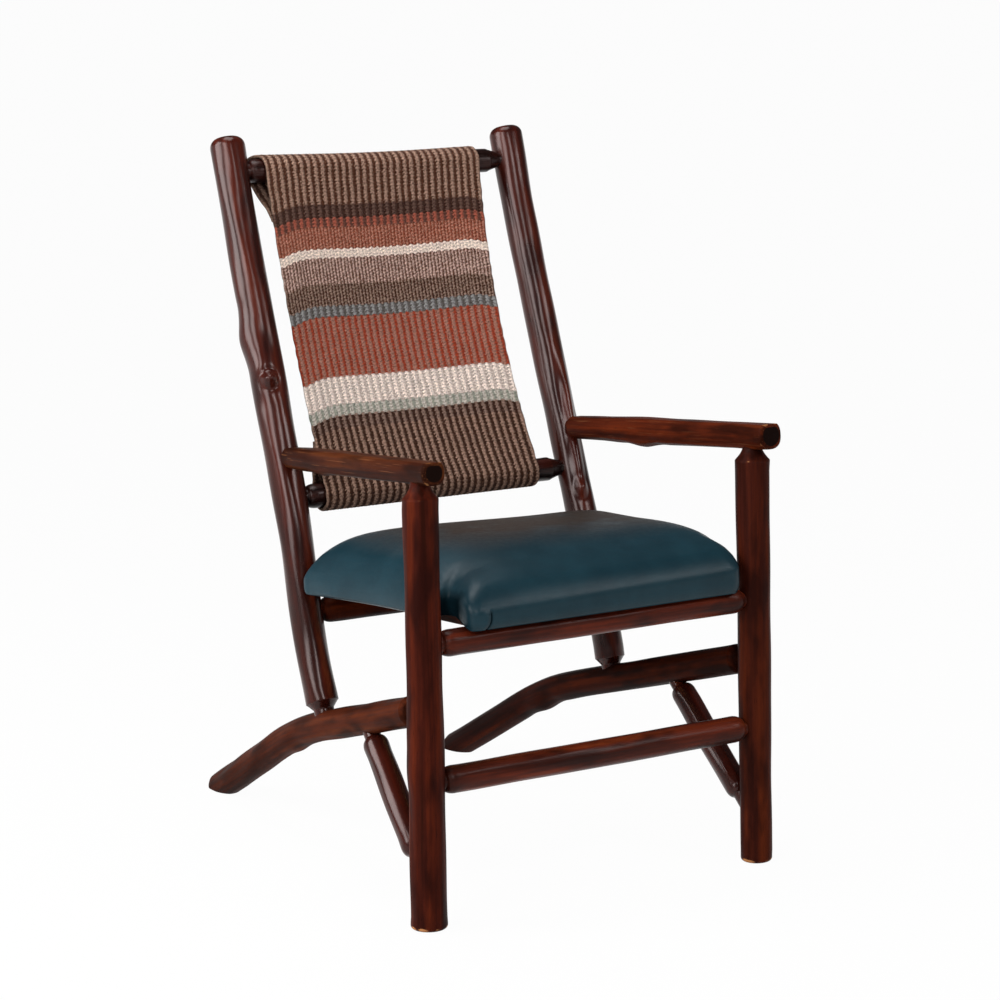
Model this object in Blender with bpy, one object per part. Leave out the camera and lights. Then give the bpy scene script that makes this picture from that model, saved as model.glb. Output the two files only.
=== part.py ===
"""A rustic armchair of peeled hickory logs.

Glued round tenons hold the logs together. A woven sling hangs between two rungs of the reclined back,
and an upholstered seat is screwed to two rails.
Metres, +Z up, the chair faces -Y, and the origin is on the floor under the middle of the chair.
"""

import math

import bmesh
import bpy
from mathutils import Matrix, Vector

# Front legs, upright posts that carry the arms
LEG_HALF_SPACING = 0.260
LEG_RADIUS = 0.0232
LEG_LEAN_BACK = 0.016
LEG_LEAN_IN = 0.003
LEG_FOOT_BEVEL = 0.004

# Arms, shaved flat on top
ARM_RADIUS = 0.0180
ARM_JOINT_Z = 0.5910
ARM_REAR_Z = 0.5480
ARM_OVERHANG = 0.0400
ARM_FLAT_SHARE = 0.82
ARM_END_BEVEL = 0.004

# Crook legs, bent logs that run from the front legs back to the floor
CROOK_RADIUS = 0.0205
CROOK_JOINT_Z = 0.287
CROOK_LEFT_BEND_Y = 0.405
CROOK_LEFT_BEND_Z = 0.164
CROOK_RIGHT_BEND_Y = 0.465
CROOK_RIGHT_BEND_Z = 0.148
CROOK_FOOT_Y = 0.722
CROOK_FOOT_HALF_SPACING = 0.204
CROOK_TOE = 0.024

# Back posts, reclined, standing on the crook legs
POST_RADIUS = 0.0235
POST_FOOT_Y = 0.318
POST_TOP_Y = 0.601
POST_TOP_Z = 0.977
POST_TOP_HALF_SPACING = 0.229
POST_DOME = 0.013

# Braces from the crook legs down to the front legs
BRACE_RADIUS = 0.0172
BRACE_TOP_Y = 0.187
BRACE_FOOT_Z = 0.058

# Rails, stretcher and rungs, by the height of their joints
FRONT_RAIL_RADIUS = 0.0175
FRONT_RAIL_Z = 0.368
STRETCHER_RADIUS = 0.0182
STRETCHER_Z = 0.190
REAR_RAIL_RADIUS = 0.0182
REAR_RAIL_Z = 0.339
RUNG_RADIUS = 0.0172
TOP_RUNG_DROP = 0.046
TOP_RUNG_DIP = 0.004
LOWER_RUNG_Z = 0.491

# Round tenons and their bores
TENON_RADIUS = 0.0098
LEG_TENON_RADIUS = 0.0122
POST_TENON_RADIUS = 0.0125
BORE_FLOOR = 0.0085
BORE_CLEARANCE = 0.0004
TENON_CHAMFER = 0.0012
SHOULDER_GAP = 0.0012
TAPER = 0.014
LEG_COVE = 0.018
ARM_TAPER = 0.006

# Seat: cleats on the rails, a board, foam and a leather cover
SEAT_GAP = 0.0004
SEAT_OFFSET = 0.005
SEAT_SIDE_INSET = 0.0200
SEAT_FRONT = 0.0250
SEAT_POST_GAP = 0.0015
SEAT_FLARE = 0.018
SEAT_DRAW_IN = 0.011
NOTCH_CLEARANCE = 0.0080
NOTCH_DEPTH = 0.0332
SEAT_CORNER = 0.014
CLEAT_WIDTH = 0.040
CLEAT_HEIGHT = 0.0112
CLEAT_INSET = 0.0412
CLEAT_BACK_REACH = 0.012
BOARD_THICKNESS = 0.012
LEATHER = 0.0018
FLANGE = 0.024
SEAT_EDGE_HEIGHT = 0.0345
SEAT_CROWN = 0.0470
SEAT_SIDE_FULLNESS = 4.4
SEAT_FRONT_FULLNESS = 3.5
SEAT_REAR_FULLNESS = 12.0
SEAT_EDGE_ROUND = 0.007
SEAT_LIP = 0.0105
SEAT_HEM = 0.14
SEAT_FIT = 0.0004

# Tacks and screws of the seat
TACK_HEAD_RADIUS = 0.0045
TACK_HEAD = 0.0012
TACK_SHANK_RADIUS = 0.0010
TACK_LENGTH = 0.010
TACKS_PER_SIDE = 3
SCREW_RADIUS = 0.0022
SCREW_HEAD_RADIUS = 0.0045
SCREW_HEAD = 0.0030
SCREW_BITE = 0.0075
FASTENER_CLEARANCE = 0.0003

# Woven sling, sewn into a pocket round each rung
SLING_HALF_WIDTH = 0.1750
SLING_OFFSET = -0.0110
SLING_WAIST = 0.0045
SLING_THICKNESS = 0.0065
SLING_POCKET = 0.075
SLING_SAG_EDGE = 0.000
SLING_SAG_MIDDLE = 0.014
SLING_CLEARANCE = 0.0004
SLING_WRAP = 18.0

# How finely round things are drawn
LOG_SIDES = 14
THIN_LOG_SIDES = 12
BORE_SIDES = 14
PIN_SIDES = 8
STATION_STEP = 0.050
CURVE_STEPS = 6
ARC_STEPS = 7

# The left leg is the stouter one, so the frame stands a little to the right of the origin
FRAME_X = 0.0017

# The front legs stand this far ahead of the origin, which puts the origin midway along the chair
CHAIR_DEPTH = CROOK_FOOT_Y + CROOK_TOE + LEG_RADIUS
LEG_Y = LEG_RADIUS - CHAIR_DEPTH / 2

# Sizes that follow from the ones above
TOP_RUNG_Z = POST_TOP_Z - TOP_RUNG_DROP
SEAT_HALF_WIDTH = LEG_HALF_SPACING - SEAT_SIDE_INSET

SIDES = {-1: "left", 1: "right"}
COLOURS = {
    "hickory": ((0.085, 0.022, 0.012), 0.42, 0.0),
    "leather": ((0.018, 0.050, 0.068), 0.40, 0.0),
    "wool": ((0.16, 0.10, 0.07), 0.95, 0.0),
    "plywood": ((0.32, 0.20, 0.11), 0.75, 0.0),
    "foam": ((0.70, 0.62, 0.42), 0.95, 0.0),
    "steel": ((0.45, 0.44, 0.42), 0.40, 1.0),
}


def clear_scene():
    for obj in list(bpy.data.objects):
        bpy.data.objects.remove(obj)


def material(name):
    found = bpy.data.materials.get(name)
    if found:
        return found
    colour, roughness, metallic = COLOURS[name]
    made = bpy.data.materials.new(name)
    made.use_nodes = True
    shader = made.node_tree.nodes["Principled BSDF"]
    shader.inputs["Base Color"].default_value = (*colour, 1.0)
    shader.inputs["Roughness"].default_value = roughness
    shader.inputs["Metallic"].default_value = metallic
    return made


def add_object(name, mesh, finish, parent=None):
    """Links a mesh as a named object with its finish, shaded smooth except at its edges."""
    mesh.name = name
    mesh.shade_smooth()
    mesh.set_sharp_from_angle(angle=math.radians(38))
    mesh.materials.append(material(finish))
    obj = bpy.data.objects.new(name, mesh)
    obj.parent = parent
    bpy.context.scene.collection.objects.link(obj)
    return obj


def finish_mesh(bm):
    """The closed bmesh as a mesh with its faces pointing out."""
    bmesh.ops.recalc_face_normals(bm, faces=bm.faces)
    mesh = bpy.data.meshes.new("mesh")
    bm.to_mesh(mesh)
    bm.free()
    return mesh


def chair(x, y, z):
    """A point given by its distance from the frame's middle plane and behind the front legs."""
    return Vector((x + FRAME_X, y + LEG_Y, z))


class Axis:
    """A smooth line through control points, which runs on straight past both ends."""

    def __init__(self, controls):
        self.points = self.through(controls)
        self.lengths = [0.0]
        for a, b in zip(self.points, self.points[1:]):
            self.lengths.append(self.lengths[-1] + (b - a).length)
        self.length = self.lengths[-1]

    @staticmethod
    def through(controls):
        first = controls[0] * 2 - controls[1]
        last = controls[-1] * 2 - controls[-2]
        padded = [first, *controls, last]
        points = []
        for a, b, c, d in zip(padded, padded[1:], padded[2:], padded[3:]):
            for step in range(CURVE_STEPS):
                t = step / CURVE_STEPS
                pull = (c - a) * t + (a * 2 - b * 5 + c * 4 - d) * t**2 + (b * 3 - a - c * 3 + d) * t**3
                points.append(b + pull / 2)
        return [*points, controls[-1].copy()]

    def span(self, s):
        for i in range(len(self.points) - 2):
            if s <= self.lengths[i + 1]:
                return i
        return len(self.points) - 2

    def at(self, s):
        i = self.span(s)
        return self.points[i] + self.direction(s) * (s - self.lengths[i])

    def direction(self, s):
        i = self.span(s)
        return (self.points[i + 1] - self.points[i]).normalized()

    def where(self, coordinate, value):
        """Distance along the line at which x, y or z (0, 1 or 2) reaches a value."""
        for i, (a, b) in enumerate(zip(self.points, self.points[1:])):
            low, high = sorted((a[coordinate], b[coordinate]))
            if low <= value <= high and high > low:
                share = (value - a[coordinate]) / (b[coordinate] - a[coordinate])
                return self.lengths[i] + share * (b - a).length
        raise ValueError(f"the line doesn't reach {value}")

    def nearest(self, point):
        """Distance along the line of the drawn point nearest to a given one."""
        gaps = [(p - point).length for p in self.points]
        return self.lengths[gaps.index(min(gaps))]


class Tenon:
    """The worked end of a log: a taper down to a round tenon that ends past the receiver's axis."""

    def __init__(self, receiver, receiver_radius, joint, radius=TENON_RADIUS, taper=TAPER):
        self.receiver = receiver
        self.joint = joint
        self.radius = radius
        self.taper = taper
        self.tip = receiver_radius - BORE_FLOOR
        self.neck = receiver_radius
        self.receiver_radius = receiver_radius

    def worked(self, body_radius):
        """The taper as pairs of distance from its thin end and radius."""
        found = [(0.0, self.radius)]
        for share in (0.25, 0.6, 1.0):
            swell = math.sqrt(1 - (1 - share) ** 2)
            found.append((self.taper * share, self.radius + (body_radius - self.radius) * swell))
        return found

    def fit(self, entry, body_radius):
        """Backs the taper off until all of it clears the receiver, which it may meet at a slant."""
        place = self.receiver.axis.nearest(self.joint)
        slant = abs(entry.dot(self.receiver.axis.direction(place)))
        reach = self.receiver.radius_at(place) * (1 + self.receiver.lobe)
        reach += max([knot.swell(place, knot.turn) for knot in self.receiver.knots], default=0.0)
        square = math.sqrt(1 - slant**2)
        self.neck = SHOULDER_GAP + max((reach + r * slant) / square - d for d, r in self.worked(body_radius))

    def stations(self, body_radius):
        """Pairs of distance from the tip and radius, from the tip to the full log."""
        start = self.tip + self.neck
        found = [(0.0, self.radius - TENON_CHAMFER), (TENON_CHAMFER, self.radius)]
        return found + [(start + d, r) for d, r in self.worked(body_radius)]


class Cove(Tenon):
    """A tenon above a hollow turned cove, as on the front legs."""

    def worked(self, body_radius):
        found = [(0.0, self.radius)]
        for share in (0.45, 0.8, 1.0):
            swell = 0.94 * share**1.7
            found.append((self.taper * share, self.radius + (body_radius - self.radius) * swell))
        return [*found, (self.taper * 1.06, body_radius)]


class FlatEnd:
    """A sawn end with its edge eased."""

    tip = 0.0

    def __init__(self, bevel):
        self.bevel = bevel

    def stations(self, body_radius):
        return [(0.0, body_radius - self.bevel), (self.bevel * 0.3, body_radius - self.bevel * 0.3),
                (self.bevel, body_radius)]


class DomeEnd(FlatEnd):
    """A rounded end, as on top of the back posts."""

    def stations(self, body_radius):
        found = []
        for angle in (10, 35, 60, 90):
            turn = math.radians(angle)
            found.append((self.bevel * (1 - math.cos(turn)), body_radius - self.bevel * (1 - math.sin(turn))))
        return found


class Knot:
    """A swelling on a log: its place along the axis, its turn round it, and its size."""

    def __init__(self, s, turn, height, length=0.022, width=0.75):
        self.s = s
        self.turn = math.radians(turn)
        self.height = height
        self.length = length
        self.width = width

    def swell(self, s, turn):
        around = (turn - self.turn + math.pi) % (2 * math.pi) - math.pi
        return self.height * math.exp(-(((s - self.s) / self.length) ** 2) - (around / self.width) ** 2)


class Log:
    """A peeled log on an axis, with a worked end at each end. The ends add their tips past the axis."""

    def __init__(self, name, axis, radii, ends, knots=(), sides=LOG_SIDES, flat=None, lobe=0.012, phase=0.0):
        self.name = name
        self.axis = axis
        self.radii = radii
        self.ends = ends
        self.knots = knots
        self.sides = sides
        self.flat = flat
        self.lobe = lobe
        self.phase = phase
        self.up = Vector((0, 0, 1)) if abs(axis.direction(0).z) < 0.8 else Vector((0, -1, 0))

    def radius_at(self, s):
        place = min(max(s / self.axis.length, 0), 1) * (len(self.radii) - 1)
        i = min(int(place), len(self.radii) - 2)
        ease = place - i
        ease = ease * ease * (3 - 2 * ease)
        return self.radii[i] * (1 - ease) + self.radii[i + 1] * ease

    def stations(self):
        """Triples of distance along the axis, radius, and how natural the surface is there."""
        head, tail = self.ends
        first = [(d - head.tip, r, 0.0) for d, r in head.stations(self.radius_at(0))]
        last = [(self.axis.length + tail.tip - d, r, 0.0) for d, r in tail.stations(self.radius_at(self.axis.length))]
        low, high = first[-1][0], last[-1][0]
        count = max(2, round((high - low) / STATION_STEP))
        places = [low + (high - low) * i / count for i in range(1, count)]
        for knot in self.knots:
            places += [knot.s - knot.length, knot.s, knot.s + knot.length]
        places = sorted(p for p in places if low + 0.004 < p < high - 0.004)
        kept = [p for p, q in zip(places, [*places[1:], high]) if q - p > 0.006]
        return first + [(p, self.radius_at(p), 1.0) for p in kept] + last[::-1]

    def ring(self, s, radius, natural):
        centre, along = self.axis.at(s), self.axis.direction(s)
        across = along.cross(self.up).normalized()
        up = across.cross(along)
        points = []
        for i in range(self.sides):
            turn = 2 * math.pi * i / self.sides
            r = radius * (1 + natural * self.lobe * math.sin(2 * turn + self.phase + 9 * s))
            r += natural * sum(knot.swell(s, turn) for knot in self.knots)
            high = r * math.cos(turn)
            if self.flat is not None and radius > TENON_RADIUS:
                high = min(high, radius * self.flat)
            points.append(centre + up * high + across * r * math.sin(turn))
        return points

    def build(self):
        bm = bmesh.new()
        rings = [[bm.verts.new(p) for p in self.ring(*station)] for station in self.stations()]
        bm.faces.new(rings[0])
        bm.faces.new(rings[-1])
        for low, high in zip(rings, rings[1:]):
            for i in range(self.sides):
                j = (i + 1) % self.sides
                bm.faces.new((low[i], low[j], high[j], high[i]))
        self.trim(bm)
        self.object = add_object(self.name, finish_mesh(bm), "hickory")
        return self

    def trim(self, bm):
        """Nothing to trim on a plain log."""


class StandingLog(Log):
    """A log that leans a little, with its foot dressed level with the floor."""

    def trim(self, bm):
        bm.verts.ensure_lookup_table()
        for i in range(self.sides):
            bm.verts[i].co.z = 0.0


class FloorLog(Log):
    """A log that is sawn flat where it stands on the floor, with the thin tip of the cut taken off."""

    def trim(self, bm):
        toe = chair(0, CROOK_FOOT_Y + CROOK_TOE, 0)
        for normal in ((0, 0, 1), (0, -1, 0.35)):
            geometry = [*bm.verts, *bm.edges, *bm.faces]
            sawn = bmesh.ops.bisect_plane(bm, geom=geometry, plane_co=toe, plane_no=normal, clear_inner=True)
            rim = [e for e in sawn["geom_cut"] if isinstance(e, bmesh.types.BMEdge)]
            bmesh.ops.edgeloop_fill(bm, edges=rim)


def prism(bm, start, end, radius, sides):
    """Adds a closed round bar from start to end."""
    along = (end - start).normalized()
    turn = along.to_track_quat("Z", "Y").to_matrix().to_4x4()
    place = Matrix.Translation((start + end) / 2) @ turn
    bmesh.ops.create_cone(bm, cap_ends=True, segments=sides, radius1=radius, radius2=radius,
                          depth=(end - start).length, matrix=place)


def hide_cutter(obj):
    obj.hide_render = True
    obj.display_type = "WIRE"


def cut(target, cutter):
    modifier = target.modifiers.new("cut", "BOOLEAN")
    modifier.operation = "DIFFERENCE"
    modifier.object = cutter


def cutter_from(name, bars):
    """One hidden cutter made of round bars, each given as start, end, radius and sides."""
    bm = bmesh.new()
    for bar in bars:
        prism(bm, *bar)
    obj = bpy.data.objects.new(name, finish_mesh(bm))
    bpy.context.scene.collection.objects.link(obj)
    hide_cutter(obj)
    return obj


def bore(log, end, entry):
    """Bores the receiver for a tenon that comes in along entry, a unit direction."""
    tip = end.joint + entry * (end.tip + BORE_CLEARANCE)
    mouth = end.joint - entry * (end.receiver_radius * 2)
    wall = (end.radius + BORE_CLEARANCE) / math.cos(math.pi / BORE_SIDES)
    cut(end.receiver.object, cutter_from("bore_" + log.name, [(mouth, tip, wall, BORE_SIDES)]))


def tenons_of(log):
    """Each tenon of a log with the direction in which it enters its receiver."""
    head, tail = log.ends
    found = []
    if isinstance(head, Tenon):
        found.append((head, -log.axis.direction(0)))
    if isinstance(tail, Tenon):
        found.append((tail, log.axis.direction(log.axis.length)))
    return found


def legs():
    """The two front legs, with their cove and tenon at the arm."""
    made = {}
    swell = {-1: (1.04, 1.02, 1.05, 0.99, 0.98, 1.0), 1: (0.93, 0.94, 0.97, 0.98, 1.0, 1.03)}
    for side, word in SIDES.items():
        foot = chair(side * LEG_HALF_SPACING, 0, 0)
        top = chair(side * (LEG_HALF_SPACING - LEG_LEAN_IN), LEG_LEAN_BACK, ARM_JOINT_Z)
        axis = Axis([foot, foot.lerp(top, 0.5), top])
        knots = [Knot(axis.length * 0.40, 150, 0.0030, 0.03), Knot(axis.length * 0.35, -70, 0.0022, 0.02)]
        made[side] = StandingLog("front_leg_" + word, axis, [LEG_RADIUS * k for k in swell[side]],
                                 [FlatEnd(LEG_FOOT_BEVEL), FlatEnd(0.0)], knots if side < 0 else [], phase=1.0 + side)
    return made


def crooks(leg):
    """The two bent legs behind, tenoned into the front legs and sawn flat on the floor."""
    made = {}
    bends = {-1: (CROOK_LEFT_BEND_Y, CROOK_LEFT_BEND_Z), 1: (CROOK_RIGHT_BEND_Y, CROOK_RIGHT_BEND_Z)}
    for side, word in SIDES.items():
        joint = leg[side].axis.at(leg[side].axis.where(2, CROOK_JOINT_Z))
        bend_y, bend_z = bends[side]
        half = LEG_HALF_SPACING + (CROOK_FOOT_HALF_SPACING - LEG_HALF_SPACING) * bend_y / CROOK_FOOT_Y
        bend = chair(side * half, bend_y, bend_z)
        foot = chair(side * CROOK_FOOT_HALF_SPACING, CROOK_FOOT_Y, 0)
        run_out = foot + (foot - bend).normalized() * CROOK_TOE * 2.5
        eased = [bend.lerp(joint, 0.12), bend.lerp(foot, 0.14)]
        axis = Axis([joint, joint.lerp(bend, 0.5), *eased, foot.lerp(bend, 0.4), run_out])
        head = Tenon(leg[side], LEG_RADIUS, joint, taper=ARM_TAPER)
        swell = [1.0, 1.0, 1.01, 1.03, 1.04, 1.04]
        under = axis.where(1, bend.y + CROOK_RADIUS)
        knots = [Knot(under, 180, 0.0040, 0.022, 1.0)] if side > 0 else [Knot(under, 180, 0.002, 0.03, 1.0)]
        made[side] = FloorLog("crook_leg_" + word, axis, [CROOK_RADIUS * k for k in swell],
                              [head, FlatEnd(0.0)], knots, phase=2.0 + side)
    return made


def posts(crook):
    """The two back posts, each tenoned into its crook leg and rounded at the top."""
    made = {}
    bows = {-1: ((0.15, 0.008), (0.34, -0.005), (0.56, -0.002), (0.80, 0.003)),
            1: ((0.12, -0.006), (0.34, -0.002), (0.58, 0.004), (0.82, 0.006))}
    swell = {-1: (0.97, 0.97, 0.98, 1.02, 1.06, 1.04, 1.01, 1.04), 1: (0.92, 0.95, 0.97, 0.97, 0.98, 0.98, 0.99, 1.04)}
    for side, word in SIDES.items():
        joint = crook[side].axis.at(crook[side].axis.where(1, POST_FOOT_Y + LEG_Y))
        top = chair(side * POST_TOP_HALF_SPACING, POST_TOP_Y, POST_TOP_Z)
        bowed = [joint.lerp(top, share) + Vector((0, offset, 0)) for share, offset in bows[side]]
        axis = Axis([joint, *bowed, top])
        head = Tenon(crook[side], CROOK_RADIUS, joint, POST_TENON_RADIUS)
        if side < 0:
            knots = [Knot(axis.length * 0.578, -35, 0.0065, 0.014, 0.55), Knot(axis.length * 0.648, 130, 0.0025, 0.03)]
        else:
            knots = [Knot(axis.length * 0.47, 25, 0.0022, 0.05, 0.5)]
        made[side] = Log("back_post_" + word, axis, [POST_RADIUS * k for k in swell[side]],
                         [head, DomeEnd(POST_DOME)], knots, phase=0.5 - side)
    return made


def arms(leg, post):
    """The two arms, tenoned into the back posts and resting on the legs' tenons."""
    made = {}
    swell = {-1: (0.84, 0.98, 1.0, 0.97, 0.93, 0.90), 1: (0.98, 1.06, 1.16, 1.10, 1.06, 1.04)}
    for side, word in SIDES.items():
        rear = post[side].axis.at(post[side].axis.where(2, ARM_REAR_Z))
        over_leg = leg[side].axis.at(leg[side].axis.length)
        front = over_leg + (over_leg - rear).normalized() * ARM_OVERHANG
        axis = Axis([rear, rear.lerp(front, 0.33), rear.lerp(front, 0.66), front])
        head = Tenon(post[side], POST_RADIUS, rear, taper=ARM_TAPER)
        knots = [Knot(axis.length * 0.42, 180, 0.004, 0.022, 0.9)] if side > 0 else [Knot(axis.length * 0.3, 180, 0.002)]
        made[side] = Log("arm_" + word, axis, [ARM_RADIUS * k for k in swell[side]],
                         [head, FlatEnd(ARM_END_BEVEL)], knots, flat=ARM_FLAT_SHARE, phase=side)
    return made


def seat_legs_in_arms(leg, arm):
    """Gives each front leg the cove and tenon that enter its arm."""
    for side, log in leg.items():
        joint = log.axis.at(log.axis.length)
        log.ends[1] = Cove(arm[side], ARM_RADIUS * ARM_FLAT_SHARE, joint, LEG_TENON_RADIUS, LEG_COVE)


def between(name, receivers, height, radius, knots=(), dip=0.0, sides=THIN_LOG_SIDES, swell=(1.0, 1.0, 1.0), lobe=0.01):
    """A straight log tenoned into two uprights at one height, the left one first."""
    left, right = (receivers[side].axis for side in SIDES)
    start, end = left.at(left.where(2, height)), right.at(right.where(2, height))
    middle = start.lerp(end, 0.5) - Vector((0, 0, dip))
    axis = Axis([start, middle, end] if dip else [start, end])
    ends = [Tenon(receivers[side], receivers[side].radii[0], joint) for side, joint in zip(SIDES, (start, end))]
    return Log(name, axis, [radius * k for k in swell], ends, knots, sides, lobe=lobe)


def braces(leg, crook):
    """The two slanting braces under the crook legs."""
    made = {}
    for side, word in SIDES.items():
        top = crook[side].axis.at(crook[side].axis.where(1, BRACE_TOP_Y + LEG_Y))
        foot = leg[side].axis.at(leg[side].axis.where(2, BRACE_FOOT_Z))
        ends = [Tenon(crook[side], CROOK_RADIUS, top), Tenon(leg[side], LEG_RADIUS, foot)]
        made[side] = Log("brace_" + word, Axis([top, foot]), [BRACE_RADIUS, BRACE_RADIUS * 1.03, BRACE_RADIUS * 0.97],
                         ends, sides=THIN_LOG_SIDES)
    return made


def frame_logs():
    """Every log of the frame, in an order in which receivers come before what they receive."""
    leg = legs()
    crook = crooks(leg)
    post = posts(crook)
    arm = arms(leg, post)
    seat_legs_in_arms(leg, arm)
    brace = braces(leg, crook)
    rails = {
        "front_seat_rail": between("front_seat_rail", leg, FRONT_RAIL_Z, FRONT_RAIL_RADIUS),
        "front_stretcher": between("front_stretcher", leg, STRETCHER_Z, STRETCHER_RADIUS),
        "rear_seat_rail": between("rear_seat_rail", post, REAR_RAIL_Z, REAR_RAIL_RADIUS),
        "top_back_rung": between("top_back_rung", post, TOP_RUNG_Z, RUNG_RADIUS, dip=TOP_RUNG_DIP, lobe=0.0),
        "lower_back_rung": between("lower_back_rung", post, LOWER_RUNG_Z, RUNG_RADIUS, lobe=0.0),
    }
    groups = [*leg.values(), *crook.values(), *post.values(), *arm.values(), *brace.values(), *rails.values()]
    return groups, leg, post, rails


def join_frame(logs):
    """Builds the logs and bores them for each other's tenons."""
    for log in logs:
        for end, entry in tenons_of(log):
            end.fit(entry, max(log.radii))
        log.build()
    for log in logs:
        for end, entry in tenons_of(log):
            bore(log, end, entry)


def rounded_outline(corners):
    """A closed outline through corners, each given as x, y, radius and extra points on the way to the next."""
    points = []
    for i, (x, y, radius, extra) in enumerate(corners):
        here = Vector((x, y))
        back = (Vector(corners[i - 1][:2]) - here).normalized()
        ahead_corner = corners[(i + 1) % len(corners)]
        ahead = (Vector(ahead_corner[:2]) - here).normalized()
        start, end = here + back * radius, here + ahead * radius
        for step in range(4):
            t = step / 3
            points.append(start * (1 - t) ** 2 + here * 2 * t * (1 - t) + end * t**2)
        following = Vector(ahead_corner[:2]) - ahead * ahead_corner[2]
        points += [end.lerp(following, (k + 1) / (extra + 1)) for k in range(extra)]
    return points


def drawn_in(y, front, back):
    """How far the seat's sides pull in between their corners."""
    middle = (front + back) / 2
    return SEAT_DRAW_IN * max(0.0, 1 - (abs(y - middle) / (back - middle)) ** 2)


def half_width(y, back):
    """Half the seat's width at a distance behind the front rail. It is wider at the rear."""
    notch = LEG_RADIUS + NOTCH_CLEARANCE
    share = min(max((y - notch) / (back - notch), 0), 1)
    return SEAT_HALF_WIDTH + SEAT_FLARE * share - drawn_in(y, -SEAT_FRONT, back)


def seat_outline(rear, inset=0.0):
    """The seat's plan, notched round the front legs, taken in by inset on every side."""
    wide = SEAT_HALF_WIDTH - inset
    front = -SEAT_FRONT + inset
    back = rear - inset
    notch_x = SEAT_HALF_WIDTH - NOTCH_DEPTH - inset
    notch_y = LEG_RADIUS + NOTCH_CLEARANCE + inset
    corner = SEAT_CORNER
    small = corner * 0.7
    right = [(notch_x, front, small, 0), (notch_x, notch_y, small, 0), (wide, notch_y, small, 3),
             (wide + SEAT_FLARE, back, corner, 3)]
    left = [(-x, y, radius, 0) for x, y, radius, extra in reversed(right)]
    left[0] = (*left[0][:3], 3)
    left[-1] = (*left[-1][:3], 3)
    outline = rounded_outline(right + left)
    drawn = []
    for p in outline:
        pull = drawn_in(p.y, front, back) if abs(p.x) > notch_x + NOTCH_DEPTH / 2 else 0.0
        drawn.append(Vector((p.x - math.copysign(pull, p.x), p.y)))
    return drawn


def dome_rings(rear, inset, base, edge, crown):
    """Rings from the rim at base, up the side and over the crown, as a list of lists of points."""
    outline = seat_outline(rear, inset)
    front, back = min(p.y for p in outline), max(p.y for p in outline)
    centre = Vector((0, (front + back) / 2))

    def height(p):
        across = 1 - min(abs(p.x) / (half_width(p.y, rear) - inset), 1) ** SEAT_SIDE_FULLNESS
        fullness = SEAT_REAR_FULLNESS if p.y > centre.y else SEAT_FRONT_FULLNESS
        along = 1 - min(abs(p.y - centre.y) / (back - centre.y), 1) ** fullness
        return edge + crown * across * along

    rings = [[Vector((*p, base)) for p in outline]]
    rings.append([Vector((*p, height(p) - SEAT_EDGE_ROUND)) for p in outline])
    for k in (0.985, 0.94, 0.84, 0.68, 0.46, 0.22):
        ring = [centre.lerp(p, k) for p in outline]
        rings.append([Vector((*p, height(p))) for p in ring])
    return rings, Vector((*centre, edge + crown))


def skin(bm, rings, close_start=False, tip=None):
    """Bridges rings of points with faces, and closes the ends asked for."""
    loops = [[bm.verts.new(p) for p in ring] for ring in rings]
    for low, high in zip(loops, loops[1:]):
        for i in range(len(low)):
            j = (i + 1) % len(low)
            bm.faces.new((low[i], low[j], high[j], high[i]))
    if close_start:
        bm.faces.new(loops[0])
    if tip is not None:
        top = bm.verts.new(tip)
        for a, b in zip(loops[-1], [*loops[-1][1:], loops[-1][0]]):
            bm.faces.new((a, b, top))
    return loops


def slab(name, outline, low, high, finish, parent):
    """A flat board with a given plan."""
    bm = bmesh.new()
    face = bm.faces.new([bm.verts.new((p.x, p.y, low)) for p in outline])
    raised = bmesh.ops.extrude_face_region(bm, geom=[face], use_keep_orig=True)
    moved = [v for v in raised["geom"] if isinstance(v, bmesh.types.BMVert)]
    bmesh.ops.translate(bm, verts=moved, vec=(0, 0, high - low))
    return add_object(name, finish_mesh(bm), finish, parent)


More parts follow.
